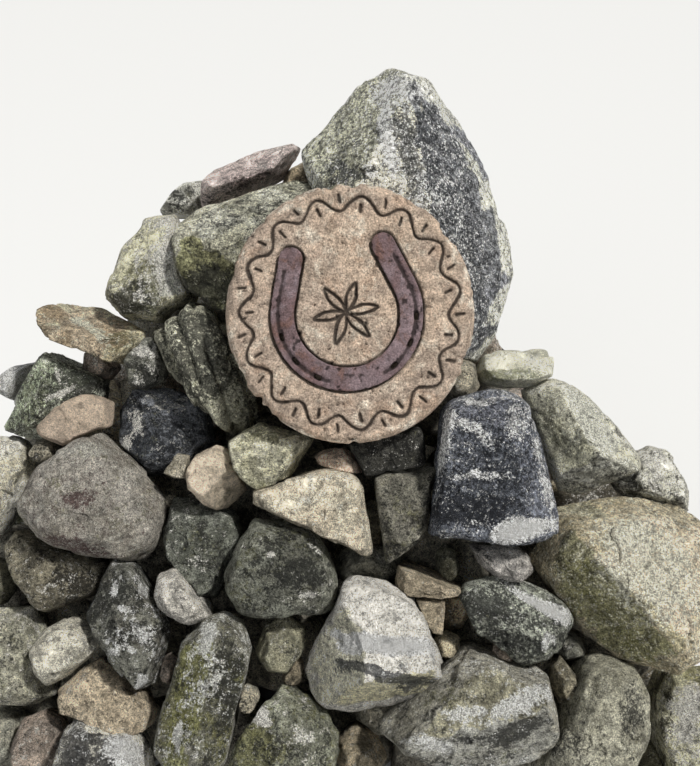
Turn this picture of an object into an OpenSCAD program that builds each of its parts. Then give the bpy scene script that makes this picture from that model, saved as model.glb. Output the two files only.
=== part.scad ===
// Dry-stone cairn: a heap of field stones with a big upright stone at its head and a
// round stone plaque, set with a horseshoe, leaning on its front face.
// Every stone starts as a rough convex lump. Where two lumps would meet, both are dressed
// to one shared plane, so that each stone beds flat on its neighbours.

/* [Cairn] */
// Width of the heap at the ground, across the front
cairn_w = 1150; // [1050:10:1300]
// Depth of the heap at the ground, front to back
cairn_d = 925; // [850:5:1040]
// Height at which the heap's sloping sides would meet
cairn_peak = 660; // [610:5:740]
// Height of one course of common stones
course_h = 112; // [95:1:130]
// Width of a common stone in a course
course_stone_w = 165; // [130:5:200]
// Depth of a common stone into the heap
course_stone_t = 150; // [120:5:180]
// Spacing of the hearting stones inside
heart_step = 150; // [130:5:190]
// Clearance between stones of the same group
stone_gap = 0.6; // [0.3:0.1:1.5]

/* [Plaque] */
// Width of the plaque
plaque_w = 252; // [220:1:290]
// Height of the plaque, up the slope
plaque_h = 264; // [230:1:300]
// Thickness of the plaque
plaque_t = 34; // [26:1:50]
// Depth of the worn edge of the plaque
plaque_edge = 7; // [3:0.5:10]
// Depth of the chips along the rim
rim_chip = 3; // [0:0.5:5]

/* [Horseshoe] */
// Width over the branches
shoe_w = 153; // [135:1:170]
// Length from toe to heels
shoe_len = 152; // [140:1:165]
// Width of the bar
shoe_bar = 24; // [20:0.5:30]
// Thickness of the bar
shoe_t = 10; // [7:0.5:14]
// How far the shoe stands proud of the plaque
shoe_proud = 2.5; // [1:0.5:5]
// Gap between the heels, at their inner edges
heel_gap = 69; // [55:1:85]
// Turn of the shoe in the plaque, in degrees
shoe_turn = 9; // [0:1:20]
// Width of the fuller, the groove along each branch
fuller_w = 5; // [3:0.5:8]
// Depth of the fuller
fuller_depth = 2; // [1:0.25:3.5]
// Length of a nail hole along the branch
nail_l = 8; // [5:0.5:10]
// Width of a nail hole
nail_w = 3.5; // [2.5:0.25:5]
// Clearance round the shoe in its seat
seat_gap = 1; // [0.5:0.25:2]

/* [Stones of the head: width, height, depth] */
// Big upright stone behind the plaque
top_boulder_size = [240, 336, 215]; // [180:1:400]
// Long slab on the left shoulder
long_slab_size = [120, 82, 105]; // [65:1:150]
// Mossy stone on the left shoulder
shoulder_stone_size = [172, 154, 135]; // [110:1:210]
// Small dark stone behind the slab
small_dark_back_stone_size = [64, 50, 85]; // [40:1:105]
// Lichened stone with a pointed top
pointed_stone_size = [109, 127, 130]; // [90:1:155]

/* [Stones of the left side: width, height, depth] */
// Flat ledge stone that juts out at the left
ledge_stone_size = [122, 82, 115]; // [65:1:150]
// Green stone under the ledge
left_green_stone_size = [125, 119, 130]; // [95:1:155]
// Small pale stone at the far left
far_left_pale_stone_size = [53, 46, 75]; // [38:1:90]
// Thin pink flake
pink_flake_size = [86, 60, 42]; // [34:1:102]
// Pale stone at the left edge
left_edge_stone_size = [105, 124, 120]; // [84:1:148]
// Big rounded boulder
round_boulder_size = [161, 147, 145]; // [118:1:192]
// Dark stone set back in the hollow
dark_hollow_stone_size = [112, 106, 115]; // [86:1:138]
// Small stone with a cap of lichen
lichen_cap_stone_size = [50, 64, 95]; // [40:1:114]
// Ridged stone beside the plaque
ridged_stone_size = [131, 159, 125]; // [100:1:190]
// Small tan wedge
tan_wedge_size = [30, 30, 42]; // [24:1:50]
// Smooth tan stone
tan_stone_size = [70, 75, 80]; // [56:1:96]

/* [Stones under the plaque: width, height, depth] */
// Grey-green stone at the lower left of the plaque
sage_stone_size = [92, 75, 105]; // [60:1:126]
// Small brown stone under the plaque
brown_pinning_size = [56, 37, 65]; // [30:1:78]
// Dark stone that carries the plaque
plaque_foot_stone_size = [89, 58, 105]; // [46:1:126]
// Three-sided cream stone
cream_triangle_size = [129, 99, 80]; // [64:1:154]
// Grey block beside it
grey_block_size = [84, 107, 110]; // [68:1:132]

/* [Stones of the right side: width, height, depth] */
// Blue-black block with pale edges
blue_block_size = [139, 164, 135]; // [108:1:196]
// Grey cobble under the block
grey_cobble_size = [74, 48, 75]; // [38:1:90]
// Pale flat stone behind the plaque
pale_flat_stone_size = [86, 46, 85]; // [38:1:102]
// Wedge-shaped stone
right_wedge_size = [135, 133, 140]; // [106:1:168]
// Stone behind the wedge
right_back_stone_size = [98, 78, 115]; // [62:1:138]
// Largest boulder of the right side
right_boulder_size = [200, 191, 190]; // [152:1:240]
// Long dark stone
long_dark_stone_size = [130, 94, 115]; // [76:1:156]
// Upper one of two tan blocks
tan_block_upper_size = [75, 42, 80]; // [34:1:96]
// Lower one of two tan blocks
tan_block_lower_size = [42, 44, 70]; // [34:1:84]

/* [Stones of the lower rows: width, height, depth] */
// Big pale stone in the middle
pale_keystone_size = [149, 157, 155]; // [120:1:188]
// Dark rounded stone
dark_round_stone_size = [125, 111, 125]; // [90:1:150]
// Dark green stone behind the cobble
dark_green_stone_size = [94, 119, 105]; // [76:1:142]
// White cobble
white_cobble_size = [72, 63, 80]; // [50:1:96]
// Dark stone spotted with lichen
spotted_stone_size = [94, 145, 115]; // [76:1:174]
// Brown stone at the left
left_brown_stone_size = [117, 97, 115]; // [78:1:140]
// Pale oblong stone
pale_oblong_size = [78, 74, 85]; // [60:1:102]
// Lichened stone at the lower left edge
left_lichen_stone_size = [118, 110, 120]; // [88:1:144]
// Flat brown stone
brown_flat_stone_size = [109, 81, 100]; // [66:1:130]
// Tall mossy stone
tall_mossy_stone_size = [109, 160, 135]; // [88:1:192]
// Stone with white patches
white_patched_stone_size = [106, 96, 120]; // [76:1:144]
// Green stone at the foot
foot_green_stone_size = [118, 122, 125]; // [96:1:150]
// Large slab at the lower right
bottom_slab_size = [190, 133, 170]; // [106:1:228]
// Oval stone
oval_stone_size = [123, 157, 140]; // [100:1:188]
// Stone at the lower right edge
bottom_right_stone_size = [115, 150, 135]; // [92:1:180]

/* [Hidden] */

// Colours of the plaque, the shoe and the kinds of stone
PLAQUE_STONE = [0.62, 0.50, 0.42];
SHOE_IRON = [0.34, 0.26, 0.28];
GREY_GRIT = [0.42, 0.41, 0.37];
OLIVE_GRIT = [0.31, 0.31, 0.22];
DARK_GRIT = [0.17, 0.18, 0.17];
BLUE_GRIT = [0.15, 0.16, 0.19];
TAN_GRIT = [0.48, 0.40, 0.31];
CREAM_GRIT = [0.62, 0.57, 0.45];
PINK_GRIT = [0.56, 0.43, 0.35];
PALE_GRIT = [0.60, 0.60, 0.57];

function unit(v) = v / norm(v);
function around(a) = [cos(a), sin(a)];

// The heap's sides slope to one point over its middle
function half_w(z) = cairn_w / 2 * (1 - z / cairn_peak);
function half_d(z) = cairn_d / 2 * (1 - z / cairn_peak);
slope_len = norm([cairn_d / 2, cairn_peak]);
face_lean = atan(cairn_d / 2 / cairn_peak);

// The front face: a point two thirds of the way up and a little right of the middle, and
// the directions across, up the slope and out of the heap
face_height = cairn_peak * 2 / 3;
face_across = cairn_w / 23;
face_at = [face_across, -half_d(face_height), face_height];
FACE = [
    [1, 0, 0],
    [0, sin(face_lean), cos(face_lean)],
    [0, -cos(face_lean), sin(face_lean)],
];

// A place on the face: percent of the heap's width across, percent of the slope's length
// up, and thousandths of the heap's depth out of the plane that the plaque leans on
function place(across, up, out) =
    [across / 100 * cairn_w, up / 100 * slope_len, out / 1000 * cairn_d];
function on_face(p) = face_at + p * FACE;

// A stone is [name, middle, directions, size, outline, crown, share in front, rank, flats].
// Its outline is the widest section, in percent of its size from the middle, and its crown
// [across, up, width, height] is the front facet, in percent of size and of the outline.
// A stone of a lower rank keeps its shape, and the other one is dressed to it.
// A flat is a broad face where the stone split, [direction across, up and out, share]: it
// lies at that share of the lump's reach in its direction.
RANK_PLAQUE = 0;
RANK_FACE = 1;
RANK_BACKING = 2;
RANK_COURSE = 3;
RANK_HEART = 4;
ROUND_CROWN = [0, 0, 50, 50];
BLUNT_CROWN = [0, 0, 60, 60];
FLAT_CROWN = [0, 0, 80, 80];
FULL_CROWN = [0, 0, 100, 100];
HALF_IN_FRONT = 0.5;
ALL_IN_FRONT = 1;
function laid(name, at, size, outline, crown = ROUND_CROWN, front = 0.45, flats = []) =
    [name, on_face(at), FACE, size, outline, crown, front, RANK_FACE, flats];

// Sections of a lump from back to front: [share of the depth behind, share of the outline]
// and [share of the depth in front, share of the way to the crown]
BACK_SECTIONS = [[1, 0.64], [0, 1]];
FRONT_SECTIONS = [[0.6, 0.35], [1, 1]];
PLAIN_FRONT_SECTIONS = [[1, 1]];
PINNINGS_NAME = "pinnings";
function is_plain(stone) =
    stone[7] == RANK_BACKING || stone[7] == RANK_HEART || stone[0] == PINNINGS_NAME;

plaque_at = place(0, 8.7, 0);

STONES_OF_THE_HEAD = [
    laid("top_boulder", place(5.5, 22.8, -85), top_boulder_size,
        [[-50, 24], [-40, 31], [-29, 41], [-8, 50], [12, 45], [26, 31], [40, 10], [48, -7],
         [50, -20], [46, -37], [34, -50], [-3, -44], [-38, -10], [-48, 10]], [-7, -4, 14, 80],
        flats = [[[-0.6, 0.35, 0.72], 0.8], [[0.6, 0.1, 0.79], 0.84]]),
    laid("long_slab", place(-10.2, 30.1, -140), long_slab_size,
        [[-50, -16], [-42, 0], [-2, 31], [43, 50], [50, 43], [47, 19], [10, -16], [-40, -50],
         [-49, -43]], [0, -5, 75, 45], flats = [[[-0.25, 0.72, 0.65], 0.7]]),
    laid("shoulder_stone", place(-9.8, 19, -75), shoulder_stone_size,
        [[-50, 4], [-45, 16], [-31, 26], [1, 37], [34, 50], [47, 37], [50, -10], [27, -47],
         [-16, -50], [-40, -36], [-45, -18]], [-5, -12, 70, 55],
        flats = [[[0, 0.68, 0.73], 0.7], [[-0.25, -0.4, 0.88], 0.76]]),
    laid("small_dark_back_stone", place(-17.7, 27.7, -185), small_dark_back_stone_size,
        [[-44, -37], [-20, 8], [10, 42], [44, 50], [50, -5], [20, -50]]),
    laid("pointed_stone", place(-19.6, 16, -100), pointed_stone_size,
        [[-50, -27], [-30, 18], [-5, 45], [27, 50], [41, 35], [30, 9], [48, -27], [13, -47],
         [-30, -47]], [5, -5, 55, 60],
        flats = [[[-0.45, 0.4, 0.8], 0.72], [[0.5, -0.1, 0.86], 0.8]]),
];

STONES_OF_THE_LEFT = [
    laid("ledge_stone", place(-25.1, 6.6, -85), ledge_stone_size,
        [[-50, 36], [-31, 48], [6, 43], [49, 8], [48, -15], [28, -50], [-27, -19], [-43, 11]],
        [-5, -10, 70, 40], flats = [[[0.2, 0.84, 0.5], 0.5], [[-0.2, -0.3, 0.93], 0.76]]),
    laid("left_green_stone", place(-29.3, -1.6, -115), left_green_stone_size,
        [[-49, -35], [-33, 0], [-5, 48], [9, 43], [50, 22], [47, -16], [14, -50], [-28, -45]],
        flats = [[[-0.65, 0.15, 0.75], 0.7], [[0.35, 0.15, 0.92], 0.76]]),
    laid("far_left_pale_stone", place(-34.3, 0.2, -150), far_left_pale_stone_size,
        [[-50, 3], [-5, 40], [45, 50], [23, 3], [-5, -50], [-32, -37]]),
    laid("pink_flake", place(-26.3, -5.1, -70), pink_flake_size,
        [[-50, -13], [-29, 26], [8, 49], [26, 50], [49, 32], [45, -15], [-13, -49], [-45, -30]],
        FLAT_CROWN, 0.5),
    laid("left_edge_stone", place(-35, -14.6, -105), left_edge_stone_size,
        [[-50, 15], [-22, 43], [13, 50], [33, 46], [50, 22], [31, -13], [9, -48], [-33, -41]],
        flats = [[[0.2, 0.35, 0.92], 0.78]]),
    laid("round_boulder", place(-24.2, -15.3, -55), round_boulder_size,
        [[-50, -4], [-38, 24], [-11, 44], [5, 50], [15, 41], [30, 15], [48, 0], [50, -19],
         [42, -40], [29, -50], [-24, -41], [-43, -26]], [-5, 5, 60, 60],
        flats = [[[0.15, 0.25, 0.96], 0.84], [[0.6, 0.3, 0.74], 0.76], [[-0.55, 0.1, 0.83], 0.82]]),
    laid("dark_hollow_stone", place(-18, -6.8, -100), dark_hollow_stone_size,
        [[-49, -10], [-48, 23], [-35, 46], [11, 49], [37, 31], [50, -10], [21, -42], [-27, -50],
         [-42, -29]], flats = [[[-0.5, 0.25, 0.83], 0.74], [[0.5, 0.35, 0.79], 0.7]]),
    laid("lichen_cap_stone", place(-19.8, 2.6, -82), lichen_cap_stone_size,
        [[-45, 7], [-7, 46], [32, 49], [48, 7], [41, -32], [5, -49], [-32, -39]],
        flats = [[[0, 0.62, 0.78], 0.66], [[0.1, -0.35, 0.93], 0.76]]),
    laid("ridged_stone", place(-14.1, 2, -75), ridged_stone_size,
        [[-48, 22], [-32, 35], [-14, 49], [14, 40], [38, 13], [50, -36], [44, -44], [27, -50],
         [-1, -32], [-26, -11]], [2, 4, 35, 75]),
    laid("tan_wedge", place(-16.1, -11, -45), tan_wedge_size,
        [[-50, -27], [0, 46], [46, 35], [42, -46], [-8, -46]], FLAT_CROWN, 0.5),
    laid("tan_stone", place(-12.2, -12.7, -40), tan_stone_size,
        [[-50, 12], [-37, 32], [0, 50], [25, 40], [50, -17], [9, -49], [-22, -39], [-45, -17]],
        [-8, 8, 65, 65], flats = [[[0.62, -0.55, 0.56], 0.6], [[-0.2, 0.25, 0.95], 0.84]]),
];

STONES_UNDER_THE_PLAQUE = [
    laid("sage_stone", place(-7.2, -9.6, -35), sage_stone_size,
        [[-50, 21], [-33, 36], [-13, 50], [50, 27], [34, 0], [16, -39], [-13, -50], [-27, -41],
         [-47, -21]], [-10, 0, 60, 65],
        flats = [[[-0.1, 0.55, 0.83], 0.7], [[0.15, -0.4, 0.9], 0.76]]),
    laid("brown_pinning", place(-1.1, -10.8, -40), brown_pinning_size,
        [[-49, 27], [-31, 42], [14, 50], [39, 12], [50, -42], [4, -24], [-35, -12]]),
    laid("plaque_foot_stone", place(3.4, -9.1, -45), plaque_foot_stone_size,
        [[-50, 20], [-32, 43], [44, 47], [49, -24], [17, -35], [-29, -49]], FLAT_CROWN),
    laid("cream_triangle", place(-3.4, -17, -20), cream_triangle_size,
        [[-50, 24], [-35, 29], [-13, 45], [30, 50], [40, 35], [43, 1], [50, -41], [47, -50],
         [32, -43], [6, -23], [-48, 9]], [3, 3, 80, 80], 0.4,
        flats = [[[-0.1, 0.3, 0.95], 0.86]]),
    laid("grey_block", place(4.5, -17.2, -40), grey_block_size,
        [[-49, 40], [-4, 48], [49, 49], [42, 12], [34, -23], [5, -40], [-16, -50], [-36, -28]],
        [-3, -3, 70, 70], flats = [[[0.1, 0.1, 0.99], 0.82], [[-0.6, -0.2, 0.77], 0.74]]),
];

STONES_OF_THE_RIGHT = [
    laid("blue_block", place(12.9, -11, -20), blue_block_size,
        [[-40, 35], [-33, 43], [-15, 48], [0, 50], [17, 48], [27, 42], [35, 24], [42, -8],
         [49, -29], [49, -41], [38, -47], [15, -50], [-49, -44], [-50, -34], [-45, -2]],
        [-4, -1, 78, 82], 0.42,
        [[[-0.1, -0.1, 0.99], 0.9], [[0.66, 0.15, 0.74], 0.82], [[0, 0.66, 0.75], 0.84]]),
    laid("grey_cobble", place(14, -23.8, -35), grey_cobble_size,
        [[-50, 45], [22, 45], [43, 20], [49, -18], [32, -48], [-6, -36], [-35, -2]]),
    laid("pale_flat_stone", place(15.8, 1.9, -75), pale_flat_stone_size,
        [[-49, -5], [-43, 29], [-21, 44], [42, 49], [49, 24], [48, -20], [22, -44], [-19, -50],
         [-43, -37]], [0, 0, 75, 55], flats = [[[0, 0.62, 0.78], 0.68]]),
    laid("right_wedge", place(22.3, -7.3, -75), right_wedge_size,
        [[-49, 39], [-33, 48], [-15, 47], [10, 30], [30, 7], [49, -18], [50, -29], [33, -36],
         [-3, -50], [-20, -45], [-29, -20], [-37, 5]], [-8, -6, 45, 60],
        flats = [[[0.45, 0.45, 0.77], 0.66], [[-0.62, -0.1, 0.78], 0.6], [[0, -0.72, 0.69], 0.64]]),
    laid("right_back_stone", place(29.5, -13.6, -115), right_back_stone_size,
        [[-44, -3], [-14, 39], [4, 49], [24, 45], [38, 19], [48, -18], [49, -50], [-26, -40]],
        flats = [[[0.15, 0.55, 0.82], 0.72]]),
    laid("right_boulder", place(25.7, -26.9, -55), right_boulder_size,
        [[-38, 41], [-17, 47], [1, 50], [24, 46], [46, 36], [50, -11], [45, -42], [28, -50],
         [10, -46], [-12, -38], [-30, -23], [-42, -5], [-50, 15]], [-3, -3, 50, 55],
        flats = [[[0.32, 0.4, 0.86], 0.76], [[-0.52, -0.45, 0.73], 0.72]]),
    laid("long_dark_stone", place(15, -31.1, -20), long_dark_stone_size,
        [[-50, 24], [-40, 42], [-20, 50], [6, 47], [35, 27], [50, 11], [48, -6], [26, -44],
         [2, -50], [-23, -24], [-39, -8]], [0, 0, 70, 45],
        flats = [[[0.2, 0.66, 0.72], 0.58], [[-0.15, -0.35, 0.92], 0.74], [[0.78, -0.1, 0.62], 0.72]]),
    laid("tan_blocks", place(7.3, -25.7, -35), tan_block_upper_size,
        [[-49, -37], [-43, 47], [-17, 42], [24, 24], [49, 8], [47, -37], [17, -47]], FLAT_CROWN),
    laid("tan_blocks", place(7.5, -30.3, -30), tan_block_lower_size,
        [[-50, 49], [45, 44], [47, 0], [32, -46], [-3, -39], [-34, 5]], FLAT_CROWN),
];

STONES_OF_THE_LOWER_ROWS = [
    laid("pale_keystone", place(2, -33.9, 0), pale_keystone_size,
        [[-24, 45], [-12, 50], [19, 43], [29, 38], [39, 19], [46, -2], [50, -15], [19, -38],
         [0, -41], [-11, -50], [-26, -43], [-48, -30], [-49, -15], [-38, 12]], [6, 0, 65, 50],
        flats = [[[0.12, 0.5, 0.86], 0.74], [[0.05, 0, 1], 0.84], [[0.15, -0.8, 0.58], 0.64],
                 [[-0.8, -0.1, 0.6], 0.66]]),
    laid("dark_round_stone", place(-6.3, -24.1, -25), dark_round_stone_size,
        [[-50, -9], [-40, 20], [-22, 47], [16, 45], [31, 30], [47, -6], [50, -30], [37, -45],
         [-16, -50], [-35, -44], [-47, -25]], [-3, 4, 60, 60],
        flats = [[[0.5, 0.5, 0.71], 0.74], [[-0.1, -0.1, 0.99], 0.84]]),
    laid("dark_green_stone", place(-14, -22.8, -70), dark_green_stone_size,
        [[-48, 22], [-39, 48], [12, 46], [39, 38], [50, 18], [25, -15], [20, -43], [-6, -50],
         [-46, -10]], [0, 0, 70, 70], flats = [[[0.2, 0.35, 0.92], 0.76]]),
    laid("white_cobble", place(-15, -27.9, -25), white_cobble_size,
        [[-50, 8], [-43, 37], [-15, 49], [15, 44], [37, 15], [50, -19], [37, -37], [7, -50],
         [-26, -36], [-46, -12]]),
    laid("spotted_stone", place(-20.6, -31.6, -30), spotted_stone_size,
        [[-19, 42], [-7, 50], [9, 46], [19, 32], [49, 3], [45, -17], [34, -44], [19, -50],
         [-9, -32], [-32, -13], [-49, 7], [-34, 24]], [5, 5, 45, 65],
        flats = [[[-0.5, 0.25, 0.83], 0.72], [[0.6, 0.1, 0.79], 0.72]]),
    laid("left_brown_stone", place(-28.2, -25.6, -70), left_brown_stone_size,
        [[-50, 29], [-36, 47], [-17, 32], [48, 7], [40, -25], [-6, -50], [-19, -37], [-46, 7]],
        flats = [[[-0.45, 0.35, 0.82], 0.72], [[0.5, 0.1, 0.86], 0.7]]),
    laid("pale_oblong", place(-26.2, -35.4, -30), pale_oblong_size,
        [[-49, 3], [-32, 29], [-3, 49], [21, 43], [48, 23], [47, 6], [14, -29], [-22, -49],
         [-41, -32]], [0, 5, 60, 50], flats = [[[0.05, 0.4, 0.91], 0.84]]),
    laid("left_lichen_stone", place(-32.9, -37, -65), left_lichen_stone_size,
        [[-50, 12], [-31, 42], [-7, 48], [28, 48], [35, 30], [26, 2], [50, -40], [30, -50],
         [-26, -48]], flats = [[[0.15, 0.3, 0.94], 0.76]]),
    laid("brown_flat_stone", place(-22.4, -41.1, -35), brown_flat_stone_size,
        [[-49, 3], [-24, 33], [-7, 48], [16, 27], [48, -21], [42, -50], [-9, -35], [-43, -29]],
        [0, -5, 70, 60], flats = [[[0.35, 0.45, 0.82], 0.7], [[-0.3, -0.1, 0.95], 0.76]]),
    laid("tall_mossy_stone", place(-13.2, -39.3, -10), tall_mossy_stone_size,
        [[-22, 31], [1, 46], [17, 50], [38, 44], [48, 24], [44, -2], [35, -31], [21, -48],
         [-40, -50], [-50, -38], [-40, -12], [-28, 14]], [5, 0, 65, 75],
        flats = [[[-0.55, 0.2, 0.81], 0.7], [[0.45, 0, 0.89], 0.76]]),
    laid("white_patched_stone", place(-22.3, -48.6, -15), white_patched_stone_size,
        [[-41, 32], [-25, 48], [7, 48], [30, 39], [45, 7], [50, -27], [35, -50], [-35, -48],
         [-50, -10]], [0, 0, 60, 60], flats = [[[0.1, 0.4, 0.91], 0.78]]),
    laid("foot_green_stone", place(-6, -46.3, -10), foot_green_stone_size,
        [[-50, -17], [-41, 10], [-28, 34], [-14, 48], [0, 50], [30, 34], [50, 7], [46, -26],
         [14, -50], [-39, -47]], [-6, 0, 60, 60],
        flats = [[[-0.35, 0.3, 0.89], 0.76], [[0.5, 0.25, 0.83], 0.74]]),
    laid("bottom_slab", place(10.5, -41.4, -5), bottom_slab_size,
        [[-49, -17], [-14, 25], [-3, 42], [9, 49], [43, 34], [47, 7], [50, -12], [47, -27],
         [24, -41], [2, -50], [-20, -47], [-39, -31]], [4, -3, 70, 60],
        flats = [[[-0.1, 0.42, 0.9], 0.76], [[0.2, -0.55, 0.81], 0.7]]),
    laid("oval_stone", place(21.8, -44.8, -20), oval_stone_size,
        [[-45, -7], [-20, 34], [-3, 47], [15, 50], [38, 41], [50, 23], [48, 0], [36, -21],
         [17, -49], [-34, -49], [-50, -27]], [5, 5, 60, 65], flats = [[[0.55, 0.1, 0.83], 0.8]]),
    laid("bottom_right_stone", place(32.7, -47.6, -60), bottom_right_stone_size,
        [[-45, -10], [-35, 31], [-26, 47], [8, 49], [46, 24], [50, -21], [27, -49], [-35, -49]],
        flats = [[[-0.6, 0.1, 0.79], 0.66], [[0.5, 0.2, 0.84], 0.7]]),
];

// Small stones wedged between the large ones, each [place, size], all with like outlines
PINNING_OUTLINE = [[-50, -10], [-30, 35], [10, 50], [45, 30], [50, -15], [20, -50], [-25, -45]];
PINNING_PLACES = [
    [place(8.8, -34.5, -30), [34, 30, 48]],
    [place(19.7, -38.8, -20), [32, 51, 55]],
    [place(-6.4, -34.7, -35), [61, 66, 85]],
    [place(-9.3, -41.4, -20), [32, 32, 45]],
    [place(-17, -38.3, -45), [22, 36, 50]],
    [place(14, -35, -15), [28, 25, 40]],
    [place(10.2, 0.6, -45), [46, 56, 65]],
    [place(9.4, -24.8, -70), [30, 50, 65]],
    [place(1.5, -25.3, -80), [88, 54, 85]],
    [place(20.7, -35.7, -55), [38, 42, 65]],
    [place(-5.4, -38, -30), [27, 34, 48]],
    [place(1, -49.8, -55), [60, 56, 85]],
    [place(-29.2, -48.3, -45), [64, 76, 90]],
    [place(-33.5, -48.8, -75), [70, 62, 90]],
    [place(-29.7, -9.4, -95), [42, 38, 75]],
    [place(-34.8, -27.5, -85), [58, 58, 85]],
    [place(-5.2, 30, -190), [62, 66, 80]],
    [place(3.6, -44.9, -78), [84, 60, 80]],
    [place(1.9, -18.8, -78), [50, 60, 60]],
    [place(9.8, -30.7, -78), [50, 60, 60]],
    [place(29.1, -54.1, -98), [60, 60, 80]],
    [place(-25.1, 2.6, -128), [46, 46, 60]],
];
PINNINGS = [
    for (k = [0 : len(PINNING_PLACES) - 1])
        let (turned = k % 2 == 0 ? 1 : -1)
        laid(PINNINGS_NAME, PINNING_PLACES[k][0], PINNING_PLACES[k][1],
            [for (p = PINNING_OUTLINE) [p.x * turned, p.y]])
];

// A common stone has an uneven outline of a few sides, drawn with its own seed: its corners
// lie between two distances from the middle, in percent of its size
rough_near = 36;
rough_far = 54;
start_seeds = 500;
function rough_outline(seed, sides) =
    let (
        waver = rands(rough_near, rough_far, sides, seed),
        start = rands(0, 360 / sides, 1, seed + start_seeds)[0]
    )
    [for (k = [0 : sides - 1]) waver[k] * around(start + 360 * k / sides)];

// Directions of a stone laid at one bearing from the front: across, up the slope and out
function bearing_frame(bearing) =
    let (
        out = unit([sin(bearing) / cairn_w, -cos(bearing) / cairn_d, 1 / (2 * cairn_peak)]),
        across = unit(cross([0, 0, 1], out))
    )
    [across, cross(out, across), out];

// Common stones overlap in the rough, so that they bed on each other when dressed. Each has
// one broad face, which looks out at its own slant.
rough_surplus = 1.25;
size_spread = 0.14;
size_seeds = 900;
slant_seeds = 1300;
slant = 0.5;
course_flat = 0.76;
course_front = 0.4;
course_sides = 7;
function course_stone(name, bearing, z, seed) =
    let (
        frame = bearing_frame(bearing),
        vary = rands(1 - size_spread, 1 + size_spread, 3, seed + size_seeds),
        lean = rands(-slant, slant, 2, seed + slant_seeds),
        rough = [course_stone_w, course_h / cos(face_lean), course_stone_t],
        size = [for (k = [0 : 2]) rough[k] * vary[k] * (k < 2 ? rough_surplus : 1)],
        skin = [half_w(z) * sin(bearing), -half_d(z) * cos(bearing), z]
    )
    [name, skin - course_front * size.z * frame[2], frame, size, rough_outline(seed, course_sides),
     ROUND_CROWN, course_front, RANK_COURSE, [[[lean[0], lean[1], 1], course_flat]]];

// Courses from the ground up. Those over the ground course leave out the laid front face.
front_left = -0.355 * cairn_w;
front_right = 0.375 * cairn_w;
front_back = 0.01 * cairn_d;
function is_front(p) = p.x > front_left && p.x < front_right && p.y < front_back;
function course(name, level) =
    let (
        z = course_h * (level + 0.5),
        count = round(PI * (half_w(z) + half_d(z)) / course_stone_w)
    )
    [for (i = [0 : count - 1])
        let (stone = course_stone(name, 360 * (i + (level % 2) / 2) / count, z, 40 * level + i + 7))
        if (level == 0 || !is_front(stone[1])) stone];
courses_left_off = 1.2;
top_level = floor(cairn_peak / course_h - courses_left_off);
GROUND_COURSE = course("ground_course", 0);
FLANK_STONES = [for (level = [1 : top_level]) each course("flank_stones", level)];

// Hearting right behind the laid front: staggered rows up the slope, in the joints' depth
heart_margin = 45;
backing_out = -162;
backing_t = 120;
backing_rows = 6;
backing_stones = 7;
backing_step = [11, 12.5];
backing_start = [-35, -51];
backing_surplus = 1.5;
backing_sides = 5;
backing_seeds = 700;
backing_size = [backing_surplus * backing_step.x / 100 * cairn_w,
    backing_surplus * backing_step.y / 100 * slope_len, backing_t];
BACKING = [
    for (row = [0 : backing_rows - 1]) for (k = [0 : backing_stones - 1])
        let (
            across = backing_start.x + backing_step.x * (k + (row % 2) / 2),
            up = backing_start.y + backing_step.y * row,
            middle = on_face(place(across, up, backing_out)),
            seed = backing_seeds + 10 * row + k
        )
        if (abs(middle.x) < half_w(middle.z) - heart_margin)
            ["hearting", middle, FACE, backing_size, rough_outline(seed, backing_sides),
             FLAT_CROWN, HALF_IN_FRONT, RANK_BACKING, []]
];

// Hearting: stones in a staggered grid inside the skin of laid stones
heart_foot = 0.36 * heart_step;
heart_rise = 0.85 * heart_step;
heart_levels = floor((cairn_peak - heart_step - heart_foot) / heart_rise);
heart_surplus = 1.15;
heart_sides = 5;
function heart_stone(p, seed) =
    ["hearting", p, [[1, 0, 0], [0, 0, 1], [0, -1, 0]],
     heart_surplus * [heart_step, heart_step, heart_step], rough_outline(seed, heart_sides),
     BLUNT_CROWN, HALF_IN_FRONT, RANK_HEART, []];
function is_inside(p) =
    pow(p.x / (half_w(p.z) - heart_margin), 2) + pow(p.y / (half_d(p.z) - heart_margin), 2) < 1;
backing_behind = place(0, 0, backing_out).z - backing_t / 2;
function is_behind_backing(p) = (p - face_at) * FACE[2] < backing_behind;
HEARTING = [
    for (k = [0 : heart_levels]) for (i = [-4 : 4]) for (j = [-3 : 3])
        let (
            stagger = (k % 2) / 2,
            p = [heart_step * (i + stagger), heart_step * (j + stagger), heart_foot + heart_rise * k]
        )
        if (is_inside(p) && is_behind_backing(p))
            heart_stone(p, 300 + 49 * k + 7 * i + j)
];

// The plaque takes part as a plain disc, which its neighbours are dressed to
disc_sides = 18;
DISC_OUTLINE = [for (k = [0 : disc_sides - 1]) 50 * around(360 * k / disc_sides)];
PLAQUE_DISC = ["plaque", on_face(plaque_at), FACE, [plaque_w, plaque_h, plaque_t], DISC_OUTLINE,
    FULL_CROWN, ALL_IN_FRONT, RANK_PLAQUE, []];

STONES = concat([PLAQUE_DISC], STONES_OF_THE_HEAD, STONES_OF_THE_LEFT, STONES_UNDER_THE_PLAQUE,
    STONES_OF_THE_RIGHT, STONES_OF_THE_LOWER_ROWS, PINNINGS, BACKING, GROUND_COURSE,
    FLANK_STONES, HEARTING);

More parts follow.
